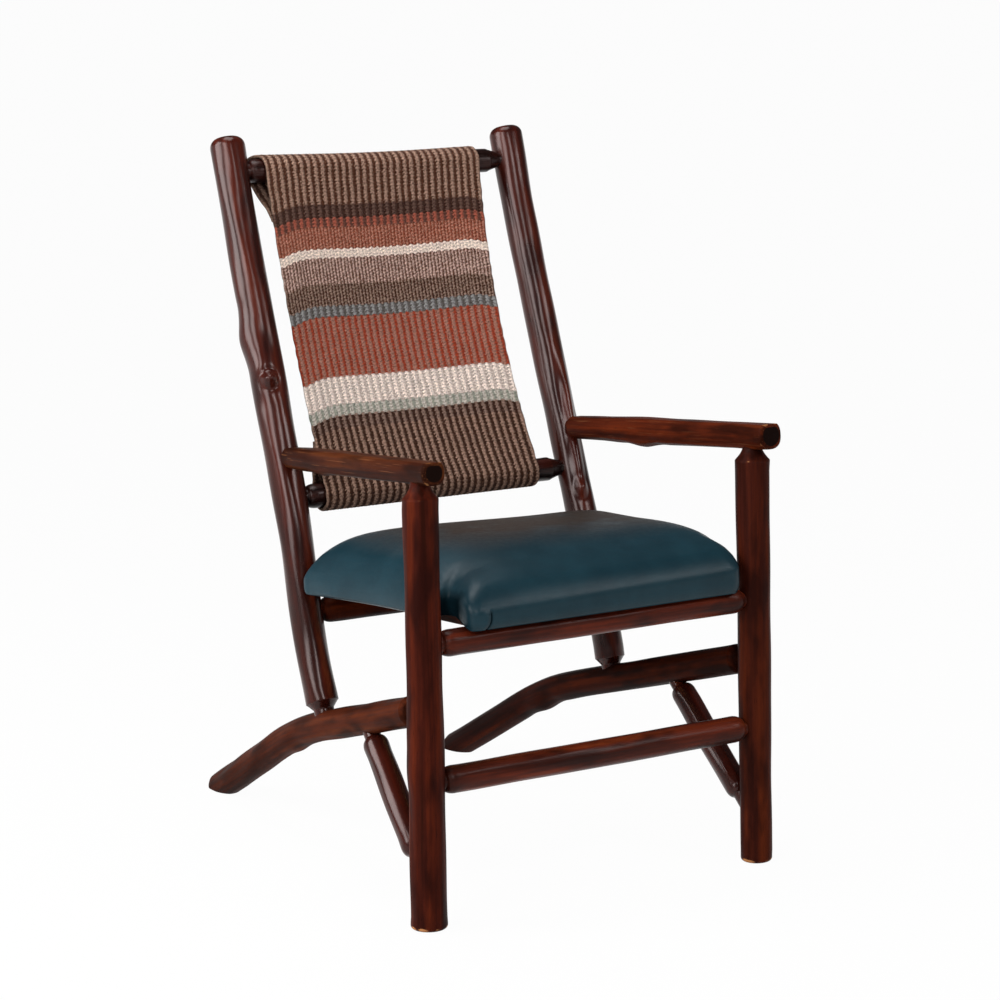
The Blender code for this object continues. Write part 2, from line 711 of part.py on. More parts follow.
def seat(leg, post, rails):
    """The upholstered seat: cleats that rest on both rails, a board, foam, leather, tacks and screws."""
    front_axis, rear_axis = rails["front_seat_rail"].axis, rails["rear_seat_rail"].axis
    front, rear = front_axis.at(front_axis.length / 2), rear_axis.at(rear_axis.length / 2)
    run = rear - front
    pitch = math.atan2(run.z + REAR_RAIL_RADIUS - FRONT_RAIL_RADIUS, run.y)
    place = Matrix.Translation(front + Vector((SEAT_OFFSET, 0, 0))) @ Matrix.Rotation(pitch, 4, "X")
    frame = bpy.data.objects.new("seat_frame", None)
    bpy.context.scene.collection.objects.link(frame)
    frame.matrix_world = place

    rest = FRONT_RAIL_RADIUS * 1.012 + SEAT_GAP
    flange_low = rest + CLEAT_HEIGHT + SEAT_FIT
    flange_high = flange_low + LEATHER
    board_low = flange_high + SEAT_FIT
    board_high = board_low + BOARD_THICKNESS
    rail_run = math.hypot(run.y, run.z)
    post_axis = post[1].axis
    touch = post_axis.at(post_axis.where(2, rear.z + flange_low))
    back_edge = touch.y - front.y - POST_RADIUS * 1.07 - SEAT_POST_GAP

    outer = seat_outline(back_edge)
    board_inset = LEATHER + SEAT_FIT
    board = seat_outline(back_edge, board_inset)
    lip = seat_outline(back_edge, FLANGE)

    board_object = slab("seat_board", board, board_low, board_high, "plywood", frame)
    foam_low = board_high + SEAT_FIT
    edge = board_low + SEAT_EDGE_HEIGHT
    bm = bmesh.new()
    rings, tip = dome_rings(back_edge, board_inset, foam_low, edge - LEATHER - SEAT_FIT, SEAT_CROWN)
    skin(bm, rings, close_start=True, tip=tip)
    add_object("seat_foam", finish_mesh(bm), "foam", frame)

    bm = bmesh.new()
    outside, top = dome_rings(back_edge, 0.0, flange_low, edge, SEAT_CROWN)
    inside, under = dome_rings(back_edge, LEATHER, flange_high, edge - LEATHER, SEAT_CROWN)
    low_lip = [Vector((*p, flange_low)) for p in lip]
    high_lip = [Vector((*p, flange_high)) for p in lip]
    for i, p in enumerate(outer):
        if p.y < LEG_RADIUS + NOTCH_CLEARANCE - LEATHER:
            hang_front_lip(low_lip[i], outside[0][i], high_lip[i], inside[0][i])
    loops = skin(bm, [low_lip, *outside], tip=top)
    hidden = skin(bm, [high_lip, *inside], tip=under)
    for i in range(len(lip)):
        j = (i + 1) % len(lip)
        bm.faces.new((loops[0][i], loops[0][j], hidden[0][j], hidden[0][i]))
    leather_object = add_object("seat_leather", finish_mesh(bm), "leather", frame)

    cleat_x = SEAT_HALF_WIDTH - CLEAT_INSET - CLEAT_WIDTH / 2
    cleats = {}
    for side, word in SIDES.items():
        x, half = side * cleat_x, CLEAT_WIDTH / 2
        reach = rail_run + CLEAT_BACK_REACH
        plan = [Vector((x + dx, y)) for dx, y in ((-half, -SEAT_FRONT * 0.6), (half, -SEAT_FRONT * 0.6),
                                                  (half, reach), (-half, reach))]
        cleats[side] = slab("seat_cleat_" + word, plan, rest, rest + CLEAT_HEIGHT, "hickory", frame)

    drive_tacks(place, leather_object, board_object, back_edge, flange_low)
    drive_screws(place, rails, cleats, cleat_x, rail_run, rest)


def hang_front_lip(low_lip, outside, high_lip, inside):
    """Lets the leather hang over the seat's front edge instead of turning under the board."""
    notch = (LEG_RADIUS + NOTCH_CLEARANCE) * 0.4
    share = min(max((notch - outside.y) / (notch + SEAT_FRONT * 0.8), 0), 1)
    outside.z -= SEAT_LIP * share
    inside.z = outside.z + LEATHER
    hem = inside.lerp(low_lip, SEAT_HEM)
    low_lip.xyz = (hem.x, hem.y, outside.z)
    high_lip.xyz = (hem.x, hem.y, inside.z)


def drive_tacks(place, leather_object, board_object, back_edge, flange_low):
    """Tacks that hold the leather's turned-under edge to the board, along the sides and the back."""
    line = FLANGE / 2
    wide = SEAT_HALF_WIDTH - line
    first = LEG_RADIUS + NOTCH_CLEARANCE + FLANGE
    last = back_edge - FLANGE
    spots = {}
    for k in range(TACKS_PER_SIDE):
        share = k / (TACKS_PER_SIDE - 1)
        for side, word in SIDES.items():
            y = first + (last - first) * share
            spots[f"{word}_{k + 1}"] = (side * (half_width(y, back_edge) - line), y)
        spots[f"rear_{k + 1}"] = (wide * 0.5 * (2 * share - 1), back_edge - line)
    bars = []
    under = flange_low - SEAT_FIT
    for word, (x, y) in spots.items():
        low, step, tip, end = (place @ Vector((x, y, under + up)) for up in (
            -TACK_HEAD, 0.0, TACK_LENGTH, TACK_LENGTH + FASTENER_CLEARANCE))
        add_object("upholstery_tack_" + word, rivet(low, step, tip, TACK_HEAD_RADIUS, TACK_SHANK_RADIUS), "steel")
        bars.append((low, end, drilled(TACK_SHANK_RADIUS), PIN_SIDES))
    cutter = cutter_from("tack_holes", bars)
    cut(leather_object, cutter)
    cut(board_object, cutter)


def drilled(radius):
    """Corner radius of a drilled hole that clears a round pin."""
    return (radius + FASTENER_CLEARANCE) / math.cos(math.pi / PIN_SIDES)


def rivet(low, step, tip, head_radius, shank_radius):
    """The mesh of one headed pin, from the outside of its head to its tip."""
    bm = bmesh.new()
    along = (tip - low).normalized()
    side = along.orthogonal().normalized()
    other = along.cross(side)
    rings = []
    for centre, radius in ((low, head_radius), (step, head_radius), (step, shank_radius), (tip, shank_radius)):
        turns = [2 * math.pi * i / PIN_SIDES for i in range(PIN_SIDES)]
        rings.append([centre + (side * math.cos(t) + other * math.sin(t)) * radius for t in turns])
    loops = skin(bm, rings, close_start=True)
    bm.faces.new(loops[-1])
    return finish_mesh(bm)


def drive_screws(place, rails, cleats, cleat_x, rail_run, rest):
    """Four screws up through the rails into the cleats, their heads let into the rails from below."""
    lines = {"front": (0.0, FRONT_RAIL_RADIUS), "rear": (rail_run, REAR_RAIL_RADIUS)}
    for row, (y, radius) in lines.items():
        rail = rails[row + "_seat_rail"].object
        for side, cleat in cleats.items():
            centre = rest - SEAT_GAP - FRONT_RAIL_RADIUS
            low = place @ Vector((side * cleat_x, y, centre - radius + SCREW_HEAD))
            step = place @ Vector((side * cleat_x, y, centre - radius + SCREW_HEAD * 2))
            tip = place @ Vector((side * cleat_x, y, rest + SCREW_BITE))
            mesh = rivet(low, step, tip, SCREW_HEAD_RADIUS, SCREW_RADIUS)
            add_object(f"seat_screw_{row}_{SIDES[side]}", mesh, "steel")
            along = (tip - low).normalized()
            shank = (low, tip + along * FASTENER_CLEARANCE, drilled(SCREW_RADIUS), PIN_SIDES)
            sink = (low - along * radius, step + along * FASTENER_CLEARANCE, drilled(SCREW_HEAD_RADIUS), PIN_SIDES)
            for target, bar in ((rail, shank), (rail, sink), (cleat, shank)):
                cut(target, cutter_from("screw_hole", [bar]))


def sling_profile(length):
    """The sling's section as three closed loops of (distance up the back, towards the front, sag share).

    The first loop is the outside, the others are the pockets round the lower and the top rung.
    """
    wrap = math.radians(SLING_WRAP)
    step = (math.pi + 2 * wrap) / ARC_STEPS
    inside = (RUNG_RADIUS + SLING_CLEARANCE) / math.cos(step / 2)
    outside = inside + SLING_THICKNESS
    face = inside + SLING_THICKNESS / 2
    half = SLING_THICKNESS / 2

    def sag(s):
        share = min(max(s / length, 0), 1)
        return 4 * share * (1 - share)

    def panel(s, offset):
        return s, face * (1 - sag(s)) + offset, sag(s)

    count = 10
    runs = [length * k / count for k in range(1, count)]
    front = [panel(s, half) for s in runs]
    middle = [s for s in runs if SLING_POCKET < s < length - SLING_POCKET]
    back = [panel(s, -half) for s in (SLING_POCKET, *middle, length - SLING_POCKET)]
    turns = [step * k - wrap for k in range(ARC_STEPS + 1)]
    over = [(length + outside * math.sin(t), outside * math.cos(t), 0.0) for t in turns]
    under = [(-outside * math.sin(t), -outside * math.cos(t), 0.0) for t in turns]
    outer = [*front, *over, *back[::-1], *under]
    loops = [outer]
    for centre, way in ((0.0, 1), (length, -1)):
        arc = [(centre - way * inside * math.sin(t), inside * math.cos(t), 0.0) for t in turns]
        closing = panel(centre + way * (SLING_POCKET - SLING_THICKNESS), -half * 0.2)
        middle_front = panel(centre + way * SLING_POCKET * 0.5, -half)
        loops.append([*arc, closing, middle_front])
    return loops


def sling(rails):
    """The woven sling, lofted across the chair from one side edge to the other."""
    low_axis, high_axis = rails["lower_back_rung"].axis, rails["top_back_rung"].axis
    low_middle, high_middle = low_axis.at(low_axis.length / 2), high_axis.at(high_axis.length / 2)
    length = (high_middle - low_middle).length
    loops = sling_profile(length)
    bm = bmesh.new()
    rows = []
    for share in (-1.0, -0.66, -0.33, 0.0, 0.33, 0.66, 1.0):
        x = low_middle.x + SLING_OFFSET + share * SLING_HALF_WIDTH
        low, high = (axis.at(axis.where(0, x)) for axis in (low_axis, high_axis))
        up = (high - low).normalized()
        front = Vector((1, 0, 0)).cross(up).normalized()
        stretch = (high - low).length / length
        depth = SLING_SAG_EDGE + (SLING_SAG_MIDDLE - SLING_SAG_EDGE) * (1 - share**2)
        row = []
        for loop in loops:
            placed = []
            for s, n, sagging in loop:
                along = s * stretch if 0 <= s <= length else s + (stretch - 1) * length * (s > 0)
                waist = Vector((-share * SLING_WAIST * sagging, 0, 0))
                placed.append(bm.verts.new(low + up * along + front * (n - depth * sagging) + waist))
            row.append(placed)
        rows.append(row)
    for left, right in zip(rows, rows[1:]):
        for a, b in zip(left, right):
            for i in range(len(a)):
                j = (i + 1) % len(a)
                bm.faces.new((a[i], a[j], b[j], b[i]))
    for row in (rows[0], rows[-1]):
        rim = [bm.edges.get((loop[i], loop[(i + 1) % len(loop)])) for loop in row for i in range(len(loop))]
        bmesh.ops.triangle_fill(bm, edges=rim, use_beauty=True)
    add_object("back_sling", finish_mesh(bm), "wool")


def main():
    clear_scene()
    logs, leg, post, rails = frame_logs()
    join_frame(logs)
    seat(leg, post, rails)
    sling(rails)


main()
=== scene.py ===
import math
from functools import partial

import bmesh
import bpy
import numpy as np
from mathutils import Matrix, Vector


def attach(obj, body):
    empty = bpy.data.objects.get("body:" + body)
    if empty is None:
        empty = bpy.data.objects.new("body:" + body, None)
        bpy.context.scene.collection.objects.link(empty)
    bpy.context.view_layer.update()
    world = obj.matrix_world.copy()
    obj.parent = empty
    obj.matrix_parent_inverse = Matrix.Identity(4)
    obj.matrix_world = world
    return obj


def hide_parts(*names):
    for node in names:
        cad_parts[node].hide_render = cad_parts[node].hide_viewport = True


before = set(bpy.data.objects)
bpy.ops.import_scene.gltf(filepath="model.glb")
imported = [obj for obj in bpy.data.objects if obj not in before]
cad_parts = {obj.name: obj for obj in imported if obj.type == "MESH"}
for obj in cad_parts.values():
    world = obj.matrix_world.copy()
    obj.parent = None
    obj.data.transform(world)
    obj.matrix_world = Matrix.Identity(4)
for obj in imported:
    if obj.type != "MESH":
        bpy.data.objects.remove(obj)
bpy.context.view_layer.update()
print("frame loaded:", len(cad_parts), "nodes")


def linear(hexColour):
    channels = [int(hexColour[i:i + 2], 16) / 255 for i in (1, 3, 5)]
    return [c / 12.92 if c <= 0.04045 else ((c + 0.055) / 1.055) ** 2.4 for c in channels] + [1.0]


# adds a node, sets its inputs or links them where a socket is given, and returns one of its outputs;
# inputs come in the order of the sockets, or in a dictionary
def addNode(tree, kind, inputs=(), out=0, stops=(), **settings):
    node = tree.nodes.new("ShaderNode" + kind)
    for key, value in settings.items():
        setattr(node, key, value)
    for key, value in inputs.items() if isinstance(inputs, dict) else enumerate(inputs):
        if isinstance(value, bpy.types.NodeSocket):
            tree.links.new(value, node.inputs[key])
        else:
            node.inputs[key].default_value = value
    if stops:
        elements = node.color_ramp.elements
        while len(elements) < len(stops):
            elements.new(1.0)
        for element, (place, colour) in zip(elements, stops):
            element.position = place
            element.color = linear(colour)
    return node.outputs[out] if node.outputs else node


def newMaterial(name):
    material = bpy.data.materials.new(name)
    material.use_nodes = True
    material.node_tree.nodes.clear()
    return material, partial(addNode, material.node_tree)


def unit(v):
    return v / np.linalg.norm(v, axis=-1, keepdims=True)


def mix(a, b, t):
    return a + (b - a) * t


def smooth(t):
    return t**2 * (3 - 2 * t)


def ramp(value, start, length):  # from 0 at start up to 1
    return np.clip((value - start) / length, 0, 1)


def fall(value, end, length):  # from 1 down to 0 at end
    return np.clip((end - value) / length, 0, 1)


def bell(value, width):
    return np.exp(-(value / width) ** 2)


# a mesh object from points and faces, shaded smooth, with fields of numbers or vectors on its points
def meshPiece(name, points, faces, material, **fields):
    mesh = bpy.data.meshes.new(name)
    mesh.from_pydata(np.asarray(points).tolist(), [], [list(map(int, f)) for f in faces])
    mesh.shade_smooth()
    for key, data in fields.items():
        kind, part = ("FLOAT_VECTOR", "vector") if np.ndim(data) > 1 else ("FLOAT", "value")
        mesh.attributes.new(key, kind, "POINT").data.foreach_set(part, np.ravel(data).astype(np.float32))
    mesh.materials.append(material)
    piece = bpy.data.objects.new(name, mesh)
    bpy.context.scene.collection.objects.link(piece)
    return piece


# faces of a grid of rows by columns, whose columns may close into a ring
def gridFaces(rows, columns, closed, first=0):
    across = columns if closed else columns - 1
    i, j = np.meshgrid(np.arange(rows - 1), np.arange(across), indexing="ij")
    k = (j + 1) % columns
    quads = np.stack([i * columns + j, i * columns + k, (i + 1) * columns + k, (i + 1) * columns + j], -1)
    return quads.reshape(-1, 4) + first


# a closed skin over rings of points, from one end point to the other
def ringSkin(rings, first, last):
    points = np.vstack([first, *rings, last])
    count, tip = len(rings[0]), len(points) - 1
    faces = [tuple(q) for q in gridFaces(len(rings), count, True, 1)]
    for i in range(count):
        k = (i + 1) % count
        faces += [(1 + k, 1 + i, 0), (tip - count + i, tip - count + k, tip)]
    return points, faces


# Peeled hickory, drawknifed and lacquered: long dark and fox-red bands, open pores, a satin gloss that breaks
# up along the grain, bare tan wood where edges have chipped, near-black end grain
hickoryFinish = {
    # width, length and detail of each noise along the grain
    "band": (0.019, 0.55, 2.0), "streak": (0.0042, 0.11, 4.0), "cloud": (0.024, 0.085, 2.0),
    "shave": (0.012, 0.045, 1.0), "check": (0.0017, 0.100, 2.0),
    "pore": (0.0012, 0.016, 2.0),  # real pores are 0.3 mm wide, drawn coarser so that they show
    # where in its noise each layer comes in and is full, and how far it then covers
    "toneStops": (0.36, 0.46, 0.55, 0.67), "streakShare": 0.6, "clouds": (0.46, 0.66, 0.0, 0.85),
    "pores": (0.62, 0.74, 0.0, 0.6), "checks": (0.63, 0.69, 0.0), "chips": (0.98, 1.08, 0.0, 0.9),
    "chipShave": 0.55, "poreDepth": -0.8, "checkDepth": -1.4, "smoother": 0.10, "rougher": 0.25,
    "shaveRelief": 0.30, "shaveDepth": 0.0013, "grainDepth": 0.0006, "bare": "#b27a4e",
    "endGrain": "#120806", "poreDark": "#1c0805", "checkPale": "#6a4128", "sheen": "#fff0ee",
}


def makeHickory(name, tones, shade, roughness, gloss, relief=0.40, cracks=0.0):
    material, add = newMaterial(name)
    f = hickoryFinish
    grain = add("Attribute", attribute_name="grainPoint", out=1)

    def stretched(kind):
        width, length, detail = f[kind]
        scaled = add("VectorMath", [grain, (1 / width, 1 / width, 1 / length)], operation="MULTIPLY")
        return add("TexNoise", {"Vector": scaled, "Scale": 1.0, "Detail": detail, "Roughness": 0.55})

    streak, shaved = stretched("streak"), stretched("shave")
    opened = add("MapRange", [stretched("pore"), *f["pores"]])
    height = add("Math", [opened, f["poreDepth"], streak], operation="MULTIPLY_ADD")
    covers = [(add("MapRange", [stretched("cloud"), *f["clouds"]]), shade), (opened, f["poreDark"])]
    if cracks:  # drying checks: thin broken lines along the grain, rubbed pale
        check = add("MapRange", [stretched("check"), *f["checks"], cracks])
        height = add("Math", [check, f["checkDepth"], height], operation="MULTIPLY_ADD")
        covers.append((check, f["checkPale"]))
    worn = add("Attribute", attribute_name="worn", out=2)
    chip = add("Math", [shaved, f["chipShave"], worn], operation="MULTIPLY_ADD")
    covers.append((add("MapRange", [chip, *f["chips"]]), f["bare"]))
    covers.append((add("Attribute", attribute_name="sawnEnd", out=2), f["endGrain"]))
    tone = add("Mix", {0: f["streakShare"] * relief, 2: stretched("band"), 3: streak}, data_type="FLOAT")
    ground = add("ValToRGB", [tone], stops=list(zip(f["toneStops"], tones)))
    for cover, colour in covers:
        ground = add("Mix", {0: cover, 6: ground, 7: linear(colour)}, out=2, data_type="RGBA")
    least, most = roughness - f["smoother"] * relief, roughness + f["rougher"] * relief
    rough = add("MapRange", [streak, 0.3, 0.7, least, most])
    bump = add("Bump", {"Height": shaved, "Strength": f["shaveRelief"], "Distance": f["shaveDepth"]})
    bump = add("Bump", {"Height": height, "Strength": relief, "Distance": f["grainDepth"], "Normal": bump})
    shader = add("BsdfPrincipled", {"Base Color": ground, "Roughness": rough, "IOR": 1.5, "Normal": bump,
                                    "Specular IOR Level": gloss, "Specular Tint": linear(f["sheen"])})
    add("OutputMaterial", {"Surface": shader})
    return material


# for each kind of log: four tones from dark to light, shade of its clouds, roughness, gloss, relief, checks
hickoryKinds = {
    "post": ("lacquered hickory, peeled and polished",
             "#290c06 #330f08 #3e130a #4b1b0d", "#1d0806", 0.21, 0.30, 0.08),
    "rail": ("lacquered hickory, turned rail", "#240b06 #40160b #581f0e #713015", "#200a06", 0.33, 0.13),
    ("leg", -1): ("lacquered hickory, drawknifed and rubbed down",
                  "#260b05 #38120a #4a1a0c #5e2410", "#200805", 0.42, 0.035),
    ("leg", 1): ("lacquered hickory, drawknifed darker log",
                 "#240a05 #32110a #40170b #501f0d", "#1e0805", 0.42, 0.035),
    ("arm", -1): ("lacquered hickory, hewn arm",
                  "#1e0b06 #33150b #44200f #582f17", "#1d0b06", 0.42, 0.02, 0.40, 0.8),
    ("arm", 1): ("lacquered hickory, hewn redder arm",
                 "#220b05 #3c150a #511e0c #642d13", "#200a05", 0.42, 0.02, 0.40, 0.5),
    ("crook", -1): ("lacquered hickory, bent log rubbed dull",
                    "#240d06 #35150a #461d0e #572812", "#220e08", 0.45, 0.015),
    # the right crook and the rear seat rail under the seat get these darker tones: painted shade
    ("crook", 1): ("lacquered hickory, bent log of dark heartwood",
                   "#180603 #280c06 #381307 #4a1c0a", "#160603", 0.42, 0.02),
    "rung": ("dark lacquered hickory, turned rung", "#0c0403 #160706 #240d09 #36140e", "#0d0504", 0.24, 0.20),
}
hickory = {}
for kind, (name, tones, *rest) in hickoryKinds.items():
    hickory[kind] = makeHickory(name, tones.split(), *rest)
print("wood finishes made")


# The lines that the logs follow, from the middle plane and the front legs' feet as the frame has them
chairMiddle, chairFront = 0.0017, -0.3614


def chairPoint(x, y, z):  # x from the middle plane, y behind the front legs, z up
    return np.array([x + chairMiddle, y + chairFront, z])


def smoothLine(points, perSpan=24):
    p = [2 * points[0] - points[1], *points, 2 * points[-1] - points[-2]]
    t = np.linspace(0, 1, perSpan, endpoint=False)[:, None]
    spans = [b + ((c - a) * t + (2 * a - 5 * b + 4 * c - d) * t**2 + (3 * b - a - 3 * c + d) * t**3) / 2
             for a, b, c, d in zip(p, p[1:], p[2:], p[3:])]
    return np.vstack([*spans, points[-1]])


def runLengths(line):
    return np.concatenate([[0.0], np.cumsum(np.linalg.norm(np.diff(line, axis=0), axis=1))])


# points at distances s along a line, which runs on straight past both ends
def alongLine(line, s):
    lengths = runLengths(line)
    s = np.asarray(s, float)
    points = np.stack([np.interp(s, lengths, line[:, k]) for k in range(3)], -1)
    points = points + np.minimum(s, 0)[..., None] * unit(line[1] - line[0])
    return points + np.maximum(s - lengths[-1], 0)[..., None] * unit(line[-1] - line[-2])


def middleOf(line):
    return alongLine(line, runLengths(line)[-1] / 2)


def crossing(line, axis, value):  # distance along a line at which x, y or z rises to a value
    return float(np.interp(value, line[:, axis], runLengths(line)))


def pointAt(line, axis, value):
    return alongLine(line, crossing(line, axis, value))


# a knot: its share of the length, degrees round the log, height, reach along the log and width in radians
frontLeg = {
    "halfSpacing": 0.260, "radius": 0.0232, "leanBack": 0.016, "leanIn": 0.003, "armZ": 0.591,
    "swell": {-1: (1.04, 1.02, 1.05, 0.99, 0.98, 1.0), 1: (0.93, 0.94, 0.97, 0.98, 1.0, 1.03)},
    "knots": {-1: [(0.40, 150, 0.0030, 0.030, 0.75), (0.35, -70, 0.0022, 0.020, 0.75)], 1: []},
    "coveFrom": 0.86, "coveLength": 0.018, "coveNeck": 0.0128, "coveWorn": 0.66, "footBevel": 0.005,
    "footWorn": 0.75, "seed": 3,
}
crookLeg = {
    "radius": 0.0205, "jointZ": 0.287, "bend": {-1: (0.405, 0.164), 1: (0.465, 0.148)},
    "bendEase": (0.12, 0.14), "footY": 0.722, "footHalfSpacing": 0.204, "toe": 0.014, "toeRun": 0.4,
    "noseRound": 0.019,
    "swell": (1.0, 1.0, 1.01, 1.03, 1.04, 1.04), "neck": 0.0120, "taper": 0.008, "seed": 11,
    "knotHeight": {-1: 0.002, 1: 0.004}, "knotReach": 0.024, "knotWidth": 1.0,
}
backPost = {
    "radius": 0.0235, "footY": 0.318, "topY": 0.601, "topZ": 0.977, "topHalfSpacing": 0.229, "dome": 0.013,
    "bows": {-1: ((0.15, 0.008), (0.34, -0.005), (0.56, -0.002), (0.80, 0.003)),
             1: ((0.12, -0.006), (0.34, -0.002), (0.58, 0.004), (0.82, 0.006))},
    "swell": {-1: (0.97, 0.97, 0.98, 1.02, 1.06, 1.04, 1.01, 1.04),
              1: (0.92, 0.95, 0.97, 0.97, 0.98, 0.98, 0.99, 1.04)},
    "knots": {-1: [(0.577, -22, 0.0130, 0.0075, 0.30), (0.60, -45, 0.0036, 0.028, 0.60),
                   (0.655, -118, 0.0046, 0.024, 0.85)],
              1: [(0.335, -12, 0.0040, 0.010, 0.30), (0.37, -8, 0.0034, 0.030, 0.28),
                  (0.44, 4, 0.0034, 0.040, 0.28), (0.51, 16, 0.0030, 0.036, 0.32)]},
    "neck": 0.0142, "taper": 0.010, "facetDepth": 0.07, "seed": 19,
}
arm = {
    "radius": 0.0180, "rearZ": 0.548, "overhang": 0.040, "flatShare": 0.82,
    "endBevel": 0.0045, "endWorn": 0.7,
    "swell": {-1: (0.84, 0.98, 1.0, 0.97, 0.93, 0.90), 1: (0.98, 1.06, 1.16, 1.10, 1.06, 1.04)},
    "knots": {-1: [(0.30, 180, 0.002, 0.022, 0.75)], 1: [(0.42, 180, 0.004, 0.022, 0.9)]},
    "neck": 0.0110, "taper": 0.006, "square": 3.0, "facetDepth": 0.7, "seed": 27,
}
brace = {
    "radius": 0.0172, "topY": 0.187, "footZ": 0.058, "swell": (1.0, 1.03, 0.97),
    "neck": 0.0112, "taper": 0.012, "seed": 35,
}
crossLogs = {  # height of the joints, radius and dip of each log between two uprights
    "front_seat_rail": {"z": 0.368, "radius": 0.0175, "dip": 0.0, "seed": 43, "between": "leg"},
    "front_stretcher": {"z": 0.190, "radius": 0.0182, "dip": 0.0, "seed": 44, "between": "leg"},
    "rear_seat_rail": {"z": 0.339, "radius": 0.0182, "dip": 0.0, "seed": 45, "between": "post"},
    "top_back_rung": {"z": 0.931, "radius": 0.0172, "dip": 0.004, "seed": 46, "between": "post",
                      "facetDepth": 0.1},
    "lower_back_rung": {"z": 0.491, "radius": 0.0172, "dip": 0.0, "seed": 47, "between": "post",
                        "facetDepth": 0.1},
}
crossEnds = {"ball": {"neck": 0.0112, "taper": 0.014}, "cone": {"neck": 0.0112, "taper": 0.020}}
sideWords = {-1: "left", 1: "right"}

legLine, crookLine, postLine, armLine, braceLine = {}, {}, {}, {}, {}
for side in sideWords:
    foot = chairPoint(side * frontLeg["halfSpacing"], 0, 0)
    topSpacing = frontLeg["halfSpacing"] - frontLeg["leanIn"]
    top = chairPoint(side * topSpacing, frontLeg["leanBack"], frontLeg["armZ"])
    legLine[side] = smoothLine([foot, mix(foot, top, 0.5), top])

    joint = pointAt(legLine[side], 2, crookLeg["jointZ"])
    bendY, bendZ = crookLeg["bend"][side]
    spread = mix(frontLeg["halfSpacing"], crookLeg["footHalfSpacing"], bendY / crookLeg["footY"])
    bend = chairPoint(side * spread, bendY, bendZ)
    toe = chairPoint(side * crookLeg["footHalfSpacing"], crookLeg["footY"], 0)
    runOut = toe + unit(toe - bend) * crookLeg["toe"]
    before, after = crookLeg["bendEase"]
    bent = [mix(bend, joint, before), mix(bend, toe, after), mix(toe, bend, crookLeg["toeRun"])]
    crookLine[side] = smoothLine([joint, mix(joint, bend, 0.5), *bent, runOut])

    joint = pointAt(crookLine[side], 1, backPost["footY"] + chairFront)
    top = chairPoint(side * backPost["topHalfSpacing"], backPost["topY"], backPost["topZ"])
    bowed = [mix(joint, top, share) + np.array([0, push, 0]) for share, push in backPost["bows"][side]]
    postLine[side] = smoothLine([joint, *bowed, top])

    rear = pointAt(postLine[side], 2, arm["rearZ"])
    overLeg = legLine[side][-1]
    tip = overLeg + unit(overLeg - rear) * arm["overhang"]
    armLine[side] = smoothLine([rear, mix(rear, tip, 0.33), mix(rear, tip, 0.66), tip])

    top = pointAt(crookLine[side], 1, brace["topY"] + chairFront)
    foot = pointAt(legLine[side], 2, brace["footZ"])
    braceLine[side] = smoothLine([top, mix(top, foot, 0.5), foot])

crossLine = {}
for name, log in crossLogs.items():
    uprights = legLine if log["between"] == "leg" else postLine
    ends = [pointAt(uprights[side], 2, log["z"]) for side in sideWords]
    crossLine[name] = smoothLine([ends[0], mix(*ends, 0.5) - np.array([0, 0, log["dip"]]), ends[1]])


logSurface = {
    "sides": 72, "step": 0.003, "closest": 0.00025, "roundRows": 9, "workedRows": 22, "workedReach": 1.3,
    "blend": 0.015, "edgeWear": 0.006, "rimWear": 0.003, "slope": 0.002, "endRings": (0.97, 0.7, 0.35),
    "lobe": 0.010, "facets": 9, "facetDepth": 0.34, "facetLevel": 0.983, "ripples": 7, "ripple": 0.00022,
    "ditch": 0.12, "arris": 0.0022, "flatFrom": 0.011, "seedShift": 1.7, "tenonClear": 0.0012,
    "tenonWorn": 0.45,
}


def swollen(log, side):  # radii along a log
    swell = log.get("swell", (1, 1, 1))
    return [log["radius"] * k for k in (swell[side] if isinstance(swell, dict) else swell)]


# share of the full radius at a distance d into a worked end of length t
def ballEnd(d, t):
    return np.sqrt(1 - (1 - np.clip(d / t, 0, 1)) ** 2)


def coneEnd(d, t, straight=0.85, rounded=0.15):
    u = np.clip(d / t, 0, 1)
    bow = rounded * np.sqrt(np.clip(1 - ((1 - u) / rounded) ** 2, 0, 1))
    return np.where(u < straight, u, straight + bow)


def coveEnd(d, t, lip=0.94, hollow=1.7):
    return np.where(d < t, lip * np.clip(d / t, 0, 1) ** hollow, np.clip(lip + (d - t) / t, 0, 1))


endShapes = {"ball": ballEnd, "cone": coneEnd, "cove": coveEnd}


# cuts off what is below the floor and closes the sole
def sawAtFloor(mesh):
    bm = bmesh.new()
    bm.from_mesh(mesh)
    everything = bm.verts[:] + bm.edges[:] + bm.faces[:]
    down = (0, 0, -1)
    made = bmesh.ops.bisect_plane(bm, geom=everything, plane_co=(0, 0, 0), plane_no=down, clear_outer=True)
    rim = [g for g in made["geom_cut"] if isinstance(g, bmesh.types.BMEdge)]
    for face in bmesh.ops.edgenet_fill(bm, edges=rim)["faces"]:
        face.smooth = False
    bmesh.ops.recalc_face_normals(bm, faces=bm.faces)
    bm.to_mesh(mesh)
    bm.free()


